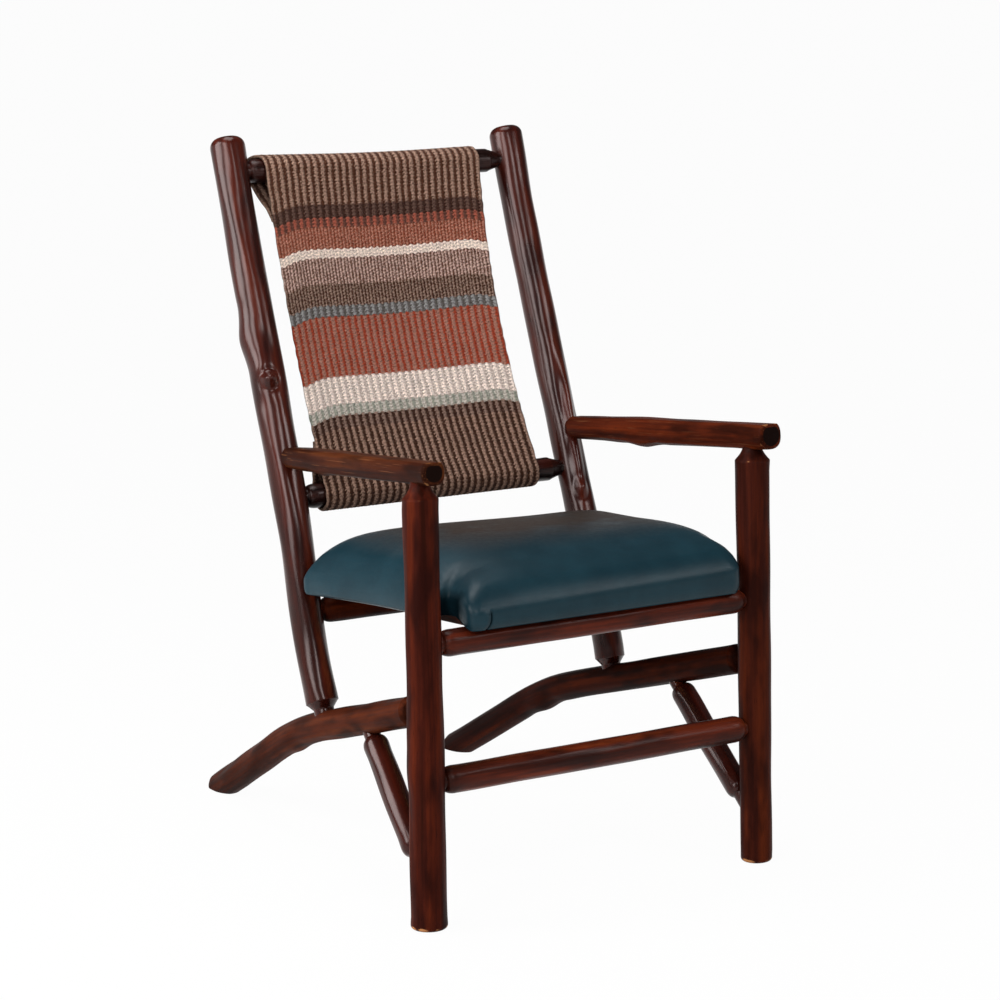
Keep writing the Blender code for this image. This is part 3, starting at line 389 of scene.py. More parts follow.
# each end of a log is a dictionary: kind, where its worked part begins, its length and its neck radius,
# or for a sawn or domed end the size of its round edge
def makeLog(name, line, start, end, material, log, side=0, knots=()):
    f = logSurface
    radii, seed = swollen(log, side), log["seed"] + side
    rng = np.random.default_rng(seed)
    length = runLengths(line)[-1]
    places = [np.arange(0.0, length, f["step"])]
    for worked, way in ((start, 1), (end, -1)):
        if worked["kind"] in ("sawn", "dome"):
            fine = worked["round"] * (1 - np.cos(np.linspace(0, math.pi / 2, f["roundRows"])))
        else:
            fine = worked["from"] + np.linspace(0, f["workedReach"], f["workedRows"]) * worked["length"]
            fine = np.concatenate([[0.0], fine])
        places.append(fine if way > 0 else length - fine)
    s = np.unique(np.round(np.clip(np.concatenate(places), 0, length), 5))
    s = s[np.concatenate([[True], np.diff(s) > f["closest"]])]
    s[-1] = length
    at = np.clip(s / length, 0, 1) * (len(radii) - 1)
    i = np.minimum(at.astype(int), len(radii) - 2)
    radius = mix(np.take(radii, i), np.take(radii, i + 1), smooth(at - i))

    natural, worn = np.ones_like(s), np.zeros_like(s)
    for worked, d in ((start, s), (end, length - s)):
        if worked["kind"] in ("sawn", "dome"):
            b = worked["round"]
            radius -= b * (1 - np.sqrt(np.clip(1 - (1 - np.minimum(d / b, 1)) ** 2, 0, 1)))
            natural *= ramp(d, 0, f["blend"]) ** 2
            wear = worked.get("worn", 0) * bell(d - b * 0.6, f["edgeWear"])
        else:
            begin, run = worked["from"], worked["length"]
            radius = mix(worked["neck"], radius, endShapes[worked["kind"]](d - begin, run))
            natural *= ramp(d - begin, run, f["blend"])
            wear = worked["worn"] * bell(d - (begin + run), f["rimWear"])
        worn = np.maximum(worn, wear)

    centre = alongLine(line, s)
    along = unit(alongLine(line, s + f["slope"]) - alongLine(line, s - f["slope"]))
    upright = np.array([0, 0, 1.0]) if abs(unit(line[1] - line[0])[2]) < 0.8 else np.array([0, -1.0, 0])
    across = unit(np.cross(along, upright))
    up = np.cross(across, along)

    turn = np.linspace(0, 2 * math.pi, f["sides"], endpoint=False)[None, :]
    place, full = s[:, None], radius[:, None]
    bark = natural[:, None]  # how far the end's work leaves the log as grown
    r = full * (1 + bark * f["lobe"] * np.sin(2 * turn + rng.uniform(0, 6) + 6 * place))
    # drawknife facets that wander round the log
    sector = 2 * math.pi / f["facets"]
    wander = rng.uniform(0, 6)
    for sway, pace in ((0.25, 5), (0.08, 14)):
        wander = wander + sway * np.sin(pace * place + rng.uniform(0, 6))
    wander = wander + 0.08 * np.sin(2 * turn + 7 * place)
    away = (turn - wander) % sector - sector / 2
    depth = log.get("facetDepth", f["facetDepth"])
    r = r * (1 + bark * depth * (math.cos(sector / 2) / np.cos(away) - f["facetLevel"]))
    for k in range(f["ripples"]):  # shallow shaving marks and swellings
        waves, pace = rng.integers(1, 5), rng.uniform(8, 60)
        r = r + bark * f["ripple"] * np.sin(waves * turn + pace * place + rng.uniform(0, 6)) / (1 + k * 0.25)
    for share, knotTurn, height, reach, width in knots:  # each with a shallow ditch round it
        aside = (turn - math.radians(knotTurn) + math.pi) % (2 * math.pi) - math.pi
        far = np.sqrt(((place - share * length) / reach) ** 2 + (aside / width) ** 2)
        r = r + bark * height * (bell(far, 1) - f["ditch"] * bell(far - 1.9, 0.5))
    high, wide = r * np.cos(turn), r * np.sin(turn)
    if "square" in log:  # towards the end the section turns into a rounded square
        share = np.clip(place / length, 0, 1) ** 2
        power = 2 + (log["square"] - 2) * share * np.clip(full / full.max() * 3 - 2, 0, 1)
        fill = (np.abs(np.cos(turn)) ** power + np.abs(np.sin(turn)) ** power) ** (-1 / power)
        high, wide = high * fill, wide * fill
    if "flatShare" in log:  # shaved flat on top, with a soft arris
        limit, soft = full * log["flatShare"], f["arris"]
        over = (high - limit + soft) / soft
        shaved = limit - soft + soft * np.tanh(np.clip(over, 0, 20))
        high = np.where((full > f["flatFrom"]) & (over > 0), shaved, high)
    points = centre[:, None] + up[:, None] * high[..., None] + across[:, None] * wide[..., None]
    runs = np.broadcast_to(place + seed * f["seedShift"], high.shape)
    grain = np.stack([full * np.cos(turn), full * np.sin(turn), runs], -1)

    # rings and a point that close the two end faces
    shrink = np.array([(k, k, 1) for k in f["endRings"]])[:, None]
    capSize = len(shrink) * f["sides"]
    ends = (0, -1)
    middles = [points[row].mean(0) for row in ends]
    first, last = (m + (points[row] - m) * shrink[..., :1] for row, m in zip(ends, middles))
    points, faces = ringSkin([*first[::-1], *points, *last], *middles)
    tips = [(0, 0, grain[row, 0, 2]) for row in ends]
    first, last = (grain[row] * shrink for row in ends)
    grain = np.vstack([tips[0], *first[::-1], *grain, *last, tips[1]])
    caps = [np.append(np.full(capSize, worn[row]), 0) for row in ends]
    worn = np.concatenate([caps[0][::-1], np.repeat(worn, f["sides"]), caps[1]])
    sawnEnd = np.zeros(len(points))
    sawnEnd[:capSize + 1] = start["kind"] == "sawn"
    sawnEnd[-capSize - 1:] = end["kind"] == "sawn"
    piece = meshPiece(name + "_log", points, faces, material, grainPoint=grain, worn=worn, sawnEnd=sawnEnd)
    if points[:, 2].min() < 0:
        sawAtFloor(piece.data)
    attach(piece, "root")
    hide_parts(name)
    return piece


# an end that enters a receiver, perhaps at a slant: its worked part begins clear of the receiver
def tenon(kind, line, atStart, receiver, receiverRadius, log, bodyRadius):
    neck, taper = log["neck"], log["taper"]
    entry = unit(line[1] - line[0]) if atStart else unit(line[-1] - line[-2])
    joint = line[0] if atStart else line[-1]
    nearest = int(np.argmin(np.linalg.norm(receiver - joint, axis=1)))
    nearest = min(max(nearest, 1), len(receiver) - 1)
    slant = abs(float(entry @ unit(receiver[nearest] - receiver[nearest - 1])))
    d = np.linspace(0, taper, 12)
    r = neck + (bodyRadius - neck) * endShapes[kind](d, taper)
    begin = float(np.max((receiverRadius + r * slant) / math.sqrt(1 - slant**2) - d))
    return {"kind": kind, "from": logSurface["tenonClear"] + begin, "length": taper, "neck": neck,
            "worn": logSurface["tenonWorn"]}


for side, word in sideWords.items():
    leg, crook, post = legLine[side], crookLine[side], postLine[side]
    legRadii, crookRadii, postRadii, armRadii, braceRadii = (
        swollen(log, side) for log in (frontLeg, crookLeg, backPost, arm, brace))

    foot = {"kind": "sawn", "round": frontLeg["footBevel"], "worn": frontLeg["footWorn"]}
    cove = {"kind": "cove", "from": arm["radius"] * frontLeg["coveFrom"], "length": frontLeg["coveLength"],
            "neck": frontLeg["coveNeck"], "worn": frontLeg["coveWorn"]}
    knots = frontLeg["knots"][side]
    makeLog("front_leg_" + word, leg, foot, cove, hickory["leg", side], frontLeg, side, knots)

    head = tenon("ball", crook, True, leg, legRadii[2], crookLeg, crookRadii[0])
    under = crossing(crook, 1, crookLeg["bend"][side][0] + chairFront + crookLeg["radius"])
    knot = (under / runLengths(crook)[-1], 180, crookLeg["knotHeight"][side], crookLeg["knotReach"],
            crookLeg["knotWidth"])
    nose = {"kind": "dome", "round": crookLeg["noseRound"]}
    makeLog("crook_leg_" + word, crook, head, nose, hickory["crook", side], crookLeg, side, [knot])

    head = tenon("cone", post, True, crook, crookRadii[0], backPost, postRadii[0])
    tail = {"kind": "dome", "round": backPost["dome"]}
    makeLog("back_post_" + word, post, head, tail, hickory["post"], backPost, side, backPost["knots"][side])

    head = tenon("ball", armLine[side], True, post, backPost["radius"], arm, armRadii[0])
    tail = {"kind": "sawn", "round": arm["endBevel"], "worn": arm["endWorn"]}
    makeLog("arm_" + word, armLine[side], head, tail, hickory["arm", side], arm, side, arm["knots"][side])

    line = braceLine[side]
    head = tenon("ball", line, True, crook, crookRadii[0], brace, braceRadii[0])
    tail = tenon("ball", line, False, leg, legRadii[0], brace, braceRadii[2])
    makeLog("brace_" + word, line, head, tail, hickory["post"], brace, side)

for name, log in crossLogs.items():
    uprights, upright = (legLine, frontLeg) if log["between"] == "leg" else (postLine, backPost)
    rung = name.endswith("rung")
    ends = []
    for side in sideWords:
        kind = "cone" if rung and side > 0 else "ball"
        ends.append(tenon(kind, crossLine[name], side < 0, uprights[side], upright["radius"], crossEnds[kind],
                          log["radius"]))
    # the rear seat rail takes the right crook's darker tones: painted shade under the seat
    finish = "rung" if rung else ("crook", 1) if name.startswith("rear") else "rail"
    makeLog(name, crossLine[name], *ends, hickory[finish], log)


# Full-grain leather, dyed and pulled tight over foam: fine pebble grain, soft sheen, duller where sat on,
# with a painted brown reflection of the sling there, and painted near-black shade in its folds
leatherFinish = {
    "cell": 0.0022, "crease": 0.0065, "mottle": 0.045,  # real pebbles are 1 mm, drawn coarser to show
    "rubs": (0.35, 0.7, 0.0, 0.5), "wearAndSheenRange": (0.05, 0.45, 0.0, 0.95), "grooves": (0.0, 0.10, 0.35, 0.0),
    "pebbles": (0.0, 0.22, 0.0, 1.0), "creaseHeight": 0.8, "roughness": (0.3, 0.7, 0.31, 0.40),
    "dullness": 0.22, "gloss": (0.0, 0.8, 0.18, 0.0), "relief": 0.11, "reliefDepth": 0.0008,
    # the worn tint is a painted brown reflection of the sling; the darkest tint is painted shade in the folds
    "dye": "#0f2932", "rub": "#1a3842", "worn": "#30261f", "shadeColour": "#04090c", "groove": "#0d1a21",
}


def makeLeather():
    material, add = newMaterial("full-grain leather, dyed and stretched")
    f = leatherFinish
    place = add("Attribute", attribute_name="hidePoint", out=1)
    cells = add("TexVoronoi", {"Vector": place, "Scale": 1 / f["cell"]}, feature="DISTANCE_TO_EDGE")
    crease, mottle = (add("TexNoise", {"Vector": place, "Scale": 1 / f[k], "Detail": 3.0})
                      for k in ("crease", "mottle"))
    satOn, shadeMask = (add("Attribute", attribute_name=k, out=2) for k in ("satOn", "pleat"))
    # the painted brown reflection of the sling, broken by mottle, on leather that is also rougher there
    wearAndSheen = add("Math", [mottle, satOn], operation="MULTIPLY")
    wearAndSheen = add("MapRange", [wearAndSheen, *f["wearAndSheenRange"]])
    covers = [(add("MapRange", [mottle, *f["rubs"]]), f["rub"]), (wearAndSheen, f["worn"]), (shadeMask, f["shadeColour"]),
              (add("MapRange", [cells, *f["grooves"]]), f["groove"])]
    colour = linear(f["dye"])
    for cover, tint in covers:
        colour = add("Mix", {0: cover, 6: colour, 7: linear(tint)}, out=2, data_type="RGBA")
    pebble = add("MapRange", [cells, *f["pebbles"]])
    height = add("Math", [crease, f["creaseHeight"], pebble], operation="MULTIPLY_ADD")
    bump = add("Bump", {"Height": height, "Strength": f["relief"], "Distance": f["reliefDepth"]})
    rough = add("MapRange", [crease, *f["roughness"]])
    rough = add("Math", [wearAndSheen, f["dullness"], rough], operation="MULTIPLY_ADD")
    # where the shade is painted the leather also loses its gloss
    gloss = add("MapRange", [shadeMask, *f["gloss"]])
    shader = add("BsdfPrincipled", {"Base Color": colour, "Roughness": rough, "IOR": 1.5, "Normal": bump,
                                    "Specular IOR Level": gloss})
    add("OutputMaterial", {"Surface": shader})
    return material


# where two numbers stand together, a form comes in from the first, in metres, over the length of the second
seat = {
    "offset": 0.005, "halfWidth": 0.240, "front": 0.025, "notchDepth": 0.0332, "notchBack": 0.0312,
    "corner": 0.014, "cornerRows": 13, "notchCorner": 0.7, "frontCorner": 0.016, "drawIn": 0.011,
    "flare": 0.018, "railTop": 1.012, "railGap": 0.0004, "postSwell": 1.07, "postGap": 0.0015,
    "pointStep": 0.0022, "notchRuns": (0.034, 0.014), "crowding": 0.75, "rightSwell": 0.008,
    "swellAcross": (0.12, 0.08), "swellFrom": 0.6, "swellRun": 0.03, "swellGap": 0.003,
    # the section
    "leather": 0.0018, "fit": 0.0004, "flange": 0.024, "lip": 0.0160, "hem": 0.14, "hemTurn": 0.9,
    "cleat": 0.0112, "board": 0.012, "hangFrom": 0.4, "hangFull": 0.8, "edge": 0.0345, "bulge": 0.0045,
    "heldBulge": 0.35, "hemCurl": 0.0012, "bulgeSide": (0.01, 0.04), "bulgeRear": (0.02, 0.05),
    "bulgeFront": 0.012, "sideFrom": 0.2, "wallRows": 14, "bellyTop": 0.6, "roundRows": 12,
    "roundStart": 0.08, "roundEase": 1.6, "topRows": 46, "topGap": 0.02, "roundIn": 0.095,
    "roundDown": 0.0185, "tightShare": 0.55, "tightFrom": 0.15, "tightRun": (0.004, 0.020),
    # the crown
    "crownLeft": 0.0465, "crownRight": 0.0405, "lean": (-0.12, 0.24), "mostShare": 1.06,
    "leftFullness": 8.0, "rightFullness": 9.0, "frontFullness": 2.9, "rearFullness": 12.0,
    "frontDrop": 0.010, "frontDropReach": 0.09, "frontDropShares": (0.7, 0.3), "rightLift": 0.003,
    "liftFront": 0.030, "liftBack": (0.05, 0.13), "liftAcross": (0.11, 0.09), "wingDrop": 0.009,
    "wingAcross": (0.195, 0.04), "wingFrom": 0.02, "wingReach": 0.11,
    # round the left leg
    "drawnIn": 0.12, "drawnDown": 0.002, "drawnAcross": (0.13, 0.06), "drawnReach": 0.08,
    "drawnFront": 0.35, "drawnRun": 0.035, "dip": 0.013, "dipReach": 0.062, "dipRun": (0.004, 0.05),
    "pleatFrom": 0.009, "pleatReach": 0.020, "pleatTurn": 0.75, "pleatDepth": 0.0024,
    "pleatWidth": 0.0015, "pleatAhead": 0.012, "pleatFade": (0.80, 0.25), "flapHeight": 0.0014,
    "flapFrom": 0.007, "flapWidth": 0.005,
    # painted shade in the folds, and the painted brown reflection of the sling where the leather is sat on
    "tuckedAcross": 0.006, "tuckedBack": 0.004, "tuckedRun": (0.016, 0.012), "tuckedDepth": 0.014,
    "shadeStrength": 0.8, "wearAndSheenBack": (0.02, 0.18), "wearAndSheenHigh": 0.03, "wearAndSheenAcross": (-0.24, 0.16),
    "wearAndSheenLeast": 0.15,
}
notchSide = seat["halfWidth"] - seat["notchDepth"]
railRadius, rearRadius = (crossLogs[k]["radius"] for k in ("front_seat_rail", "rear_seat_rail"))
railFront, railRear = (middleOf(crossLine[k]) for k in ("front_seat_rail", "rear_seat_rail"))
run = railRear - railFront
seatPitch = math.atan2(run[2] + rearRadius - railRadius, run[1])
seatPlace = Matrix.Translation(Vector(railFront) + Vector((seat["offset"], 0, 0)))
seatPlace = seatPlace @ Matrix.Rotation(seatPitch, 4, "X")
flangeLow = railRadius * seat["railTop"] + seat["railGap"] + seat["cleat"] + seat["fit"]
touch = pointAt(postLine[1], 2, railRear[2] + flangeLow)
seatBack = touch[1] - railFront[1] - backPost["radius"] * seat["postSwell"] - seat["postGap"]


def pulledIn(y, front, back):  # how far the sides pull in between their corners
    middle = (front + back) / 2
    return seat["drawIn"] * np.clip(1 - ((y - middle) / (back - middle)) ** 2, 0, 1)


def halfWidth(y):
    share = ramp(y, seat["notchBack"], seatBack - seat["notchBack"])
    return seat["halfWidth"] + seat["flare"] * share - pulledIn(y, -seat["front"], seatBack)


# the seat's plan with round corners, taken in by inset; the same count of points for every inset
def seatOutline(inset):
    wide, front, back = seat["halfWidth"] - inset, -seat["front"] + inset, seatBack - inset
    notchX, notchY = notchSide - inset, seat["notchBack"] + inset
    small = seat["corner"] * seat["notchCorner"]
    right = [(notchX, front, seat["frontCorner"]), (notchX, notchY, small), (wide, notchY, small),
             (wide + seat["flare"], back, seat["corner"])]
    corners = right + [(-x, y, c) for x, y, c in reversed(right)]
    points = []
    for k, (x, y, c) in enumerate(corners):
        here, before, after = (np.array(corners[j % 8][:2]) for j in (k, k - 1, k + 1))
        start, stop = here + unit(before - here) * c, here + unit(after - here) * c
        t = np.linspace(0, 1, seat["cornerRows"])[:, None]
        points.append(start * (1 - t) ** 2 + 2 * here * t * (1 - t) + stop * t**2)
        following = after - unit(after - here) * corners[(k + 1) % 8][2]
        t = np.linspace(0, 1, straightCounts[k] + 2)[1:-1, None]
        if k == 7:  # the front edge has its points closer together near the corners
            t = t - seat["crowding"] * np.sin(2 * math.pi * t) / (2 * math.pi)
        points.append(mix(stop, following, t))
    outline = np.vstack(points)
    pull = pulledIn(outline[:, 1], front, back) * ramp(np.abs(outline[:, 0]), notchX, seat["notchDepth"])
    outline[:, 0] -= np.copysign(pull, outline[:, 0])
    return outline


sideRun = seatBack - seat["notchBack"]
straightRuns = [*seat["notchRuns"], sideRun, 2 * seat["halfWidth"]]
straightRuns += [sideRun, *reversed(seat["notchRuns"]), 2 * notchSide]
straightCounts = [round(r / seat["pointStep"]) for r in straightRuns]


def makeSeat(material):
    s = seat
    outer, inner, lip = seatOutline(0), seatOutline(s["leather"]), seatOutline(s["flange"])
    back, front = outer[:, 1].max(), outer[:, 1].min()
    # the front right corner swells towards its leg
    swell = ramp(outer[:, 0], *s["swellAcross"])
    swell = swell * fall(outer[:, 1], s["notchBack"] * s["swellFrom"], s["swellRun"])
    outer[:, 0] += s["rightSwell"] * swell * (outer[:, 0] < notchSide + s["swellGap"])
    centre = np.array([0, (front + back) / 2])
    flangeHigh = flangeLow + s["leather"]
    edge = flangeHigh + s["fit"] + s["edge"]
    foamLow = flangeHigh + 2 * s["fit"] + s["board"]

    def dome(p):
        x, y = p[:, 0], p[:, 1]
        wide, deep = halfWidth(y), back - centre[1]
        fullness = np.where(x > 0, s["rightFullness"], s["leftFullness"])
        acrossShare = 1 - np.clip(np.abs(x) / wide, 0, s["mostShare"]) ** fullness
        fullness = np.where(y > centre[1], s["rearFullness"], s["frontFullness"])
        alongShare = 1 - np.clip(np.abs(y - centre[1]) / deep, 0, s["mostShare"]) ** fullness
        drop = mix(*s["frontDropShares"], np.clip(x / wide, -1, 1)) * s["frontDrop"]
        drop = drop * (1 - ramp(y, front, s["frontDropReach"])) ** 2
        # the leather is drawn down round the left leg
        away = np.hypot(x + s["halfWidth"] - s["notchDepth"], y - s["notchBack"])
        drop = drop + s["dip"] * ramp(y - front, *s["dipRun"]) * bell(away, s["dipReach"])
        # the crown leans left; the front right corner stands full, and the side behind it falls away
        crown = mix(s["crownLeft"], s["crownRight"], smooth(ramp(x, *s["lean"])))
        lift = ramp(y, front, s["liftFront"]) * (1 - ramp(y, *s["liftBack"]))
        lift = lift * ramp(x, *s["liftAcross"]) ** 1.5
        wing = ramp(x, *s["wingAcross"]) * (1 - ramp(y, s["notchBack"], s["wingReach"])) * (y > s["wingFrom"])
        return edge + crown * acrossShare * alongShare - drop + s["rightLift"] * lift - s["wingDrop"] * wing

    # at the front the leather hangs over the board's edge, elsewhere it turns under
    x, y = outer.T
    atFront = y < s["notchBack"] - s["leather"]
    reach = s["notchBack"] * s["hangFrom"]
    hang = np.where(atFront, fall(y, reach, reach + s["front"] * s["hangFull"]), 0)
    low = flangeLow - s["lip"] * hang
    under = np.where(atFront[:, None], mix(inner, lip, s["hem"]), lip)
    underLow = np.where(atFront, low, flangeLow)
    innerLow = np.where(atFront, low + s["leather"], flangeHigh)

    outward = np.roll(outer, -1, 0) - np.roll(outer, 1, 0)
    outward = unit(np.stack([outward[:, 1], -outward[:, 0]], -1))
    rings = [np.column_stack([inner, np.full(len(inner), foamLow)]), np.column_stack([inner, innerLow])]
    insideRings = len(rings)
    rings += [np.column_stack([under, innerLow]), np.column_stack([under, underLow])]
    rings.append(np.column_stack([mix(under, outer, s["hemTurn"]), mix(underLow, low, s["hemTurn"])]))
    hemRings = len(rings)
    # the wall swells where nothing stands close to it
    rearGap, rearRun = s["bulgeRear"]
    freeSide = ramp(y - s["notchBack"], *s["bulgeSide"]) * fall(y, back - rearGap, rearRun)
    freeSide = freeSide * (np.abs(x) > s["sideFrom"])
    freeFront = fall(y, front + s["bulgeFront"], s["bulgeFront"])
    bulge = s["bulge"] * mix(s["heldBulge"], 1, np.maximum(freeSide, freeFront))[:, None]
    # the edge is rounded less where the front right corner meets its leg, and more round the left leg
    tight = (x > s["tightFrom"]) * (y < s["notchBack"] + s["tuckedBack"]) * ramp(y - front, *s["tightRun"])
    drawn = ramp(-x, *s["drawnAcross"]) * (1 - ramp(y, s["notchBack"], s["drawnReach"])) ** 2
    drawn = drawn * mix(s["drawnFront"], 1, ramp(y, front, s["drawnRun"]))
    roundIn = s["roundIn"] + s["drawnIn"] * drawn
    roundDown = s["roundDown"] * (1 - s["tightShare"] * tight) + s["drawnDown"] * drawn
    wallTop = dome(outer + outward * bulge) - roundDown
    for t in np.linspace(0, 1, s["wallRows"]):
        belly = bulge * (1 - max(0, 1 - t / s["bellyTop"]) ** 2) - s["hemCurl"] * (1 - t) ** 6
        wall = mix(low + s["hemCurl"] / 2 * (t == 0), wallTop, t)
        rings.append(np.column_stack([outer + outward * belly, wall]))
    wallRings = len(rings)
    shares = [1 - roundIn * t ** s["roundEase"] for t in np.linspace(s["roundStart"], 1, s["roundRows"])]
    shares += [mix(1 - s["topGap"] - roundIn, s["topGap"], t) for t in np.linspace(0, 1, s["topRows"])]
    for k in shares:
        inset = ramp(k - 1, -roundIn, roundIn)
        p = mix(centre, outer, k[:, None]) + outward * bulge * inset[:, None] ** 2
        rings.append(np.column_stack([p, dome(p) - roundDown * (1 - np.sqrt(1 - inset**2))]))
    points, faces = ringSkin(rings, (*centre, foamLow), (*centre, dome(centre[None])[0]))
    ring = (np.arange(len(points)) - 1) // len(outer)
    # a curved pleat on the wall at the front left corner: a groove with a flap raised beside it
    height = (points[:, 2] - low.min()) / (edge - low.min())
    curve = s["pleatFrom"] + s["pleatReach"] * np.sin(s["pleatTurn"] * math.pi * np.clip(1 - height, 0, 1))
    aside = points[:, 0] + s["halfWidth"] - s["notchDepth"] - curve
    shown = (points[:, 1] < front + s["pleatAhead"]) * fall(height, *s["pleatFade"])
    shown = shown * (ring >= insideRings) * (ring < wallRings)
    pleat = shown * bell(aside, s["pleatWidth"])
    flap = shown * bell(aside + s["flapFrom"], s["flapWidth"])
    points[:, 1] += s["pleatDepth"] * pleat - s["flapHeight"] * flap
    # painted shade on the leather tucked in behind the legs
    shadeBehindLegs = np.abs(points[:, 0]) > notchSide - s["tuckedAcross"]
    shadeBehindLegs = shadeBehindLegs * (points[:, 1] < s["notchBack"] + s["tuckedBack"])
    shadeBehindLegs = shadeBehindLegs * ramp(points[:, 1] - front, *s["tuckedRun"]) * fall(points[:, 2], edge, s["tuckedDepth"])
    # painted shade in the pleat's groove and on the turned-under edge, as dark as behind the legs
    pleat = s["shadeStrength"] * np.maximum(np.maximum(pleat, shadeBehindLegs), ring < hemRings)

    # painted brown reflection of the sling towards the rear of the top, where it is also sat on and duller
    satOn = ramp(points[:, 1], *s["wearAndSheenBack"]) * ramp(points[:, 2], edge, s["wearAndSheenHigh"])
    satOn = satOn * np.maximum(ramp(points[:, 0], *s["wearAndSheenAcross"]), s["wearAndSheenLeast"])
    piece = meshPiece("seat_cover", points, faces, material, hidePoint=points, satOn=satOn, pleat=pleat)
    piece.matrix_world = seatPlace
    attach(piece, "root")
    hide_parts("seat_leather", "seat_foam")
    return piece


seatCover = makeSeat(makeLeather())
print("seat made:", len(seatCover.data.polygons), "faces")


sling = {
    "halfWidth": 0.175, "offset": -0.011, "waist": 0.0045, "thickness": 0.0046, "rib": 0.00558,
    "ribHeight": 0.0004, "rung": 0.0176, "clear": 0.0004, "pocket": 0.075, "pocketGap": 0.0006,
    "wrap": 18.0, "arcRows": 30, "sag": 0.014, "perRib": 6, "rowStep": 0.003, "flare": 0.012,
    "flareFrom": 0.8, "flareEnd": 0.012, "flareEase": 0.060, "waver": 0.0005, "tuft": 0.00012,
    "edgeRound": 0.003, "edgeShare": 0.35, "leftDip": 0.013, "leftDipReach": 0.026, "rightDip": 0.008,
    "rightDipReach": 0.018,
}
# from the bottom up: where each stripe ends, in metres above the lower rung, its first and second rib colour,
# and whether its ribs are fine
stripes = [
    (0.0900, "#927464", "#351e13", 0), (0.1080, "#7f665a", "#311b12", 0), (0.1240, "#86877b", "#b5aca1", 0),
    (0.1635, "#eddcd1", "#beaca1", 0), (0.2505, "#8c3521", "#94695a", 0), (0.2682, "#878685", "#55504d", 0),
    (0.2987, "#8f7567", "#3c2318", 1), (0.3362, "#bfa094", "#5c3d31", 1), (0.3475, "#ebd8ca", "#d2beb1", 1),
    (0.3810, "#ab7461", "#783c2b", 1), (0.3920, "#9d5241", "#5a3a30", 0), (0.4115, "#5d453c", "#38221a", 0),
    (0.9000, "#9b7c6b", "#47291c", 0),
]
# Thick wool, woven in vertical ribs with cross stripes: fuzzy speckled yarn, ribs of two colours side by
# side, fine ribs in some stripes, ragged edges between the colours, matt all over
woolFinish = {
    "speck": 0.0023, "fuzz": 0.0011, "drift": 0.022, "stitch": 0.0049,  # sizes in the cloth
    "ribStray": 1.7, "ribSway": 0.5, "slant": 0.0030, "rowStray": 0.0080, "stitchPush": -0.07,
    "ribEdge": (0.28, 0.62, 0.0, 1.0), "jag": 0.0016, "ragged": 0.0030, "span": (-0.15, 0.65),
    "plain": 0.55, "stitchFleck": 0.30, "fuzzFleck": 1.5, "strayFleck": 2.8, "swayFleck": 0.5,
    "level": 0.72, "stitchLift": 0.30, "speckLift": 0.9, "relief": 0.8, "reliefDepth": 0.0016,
}


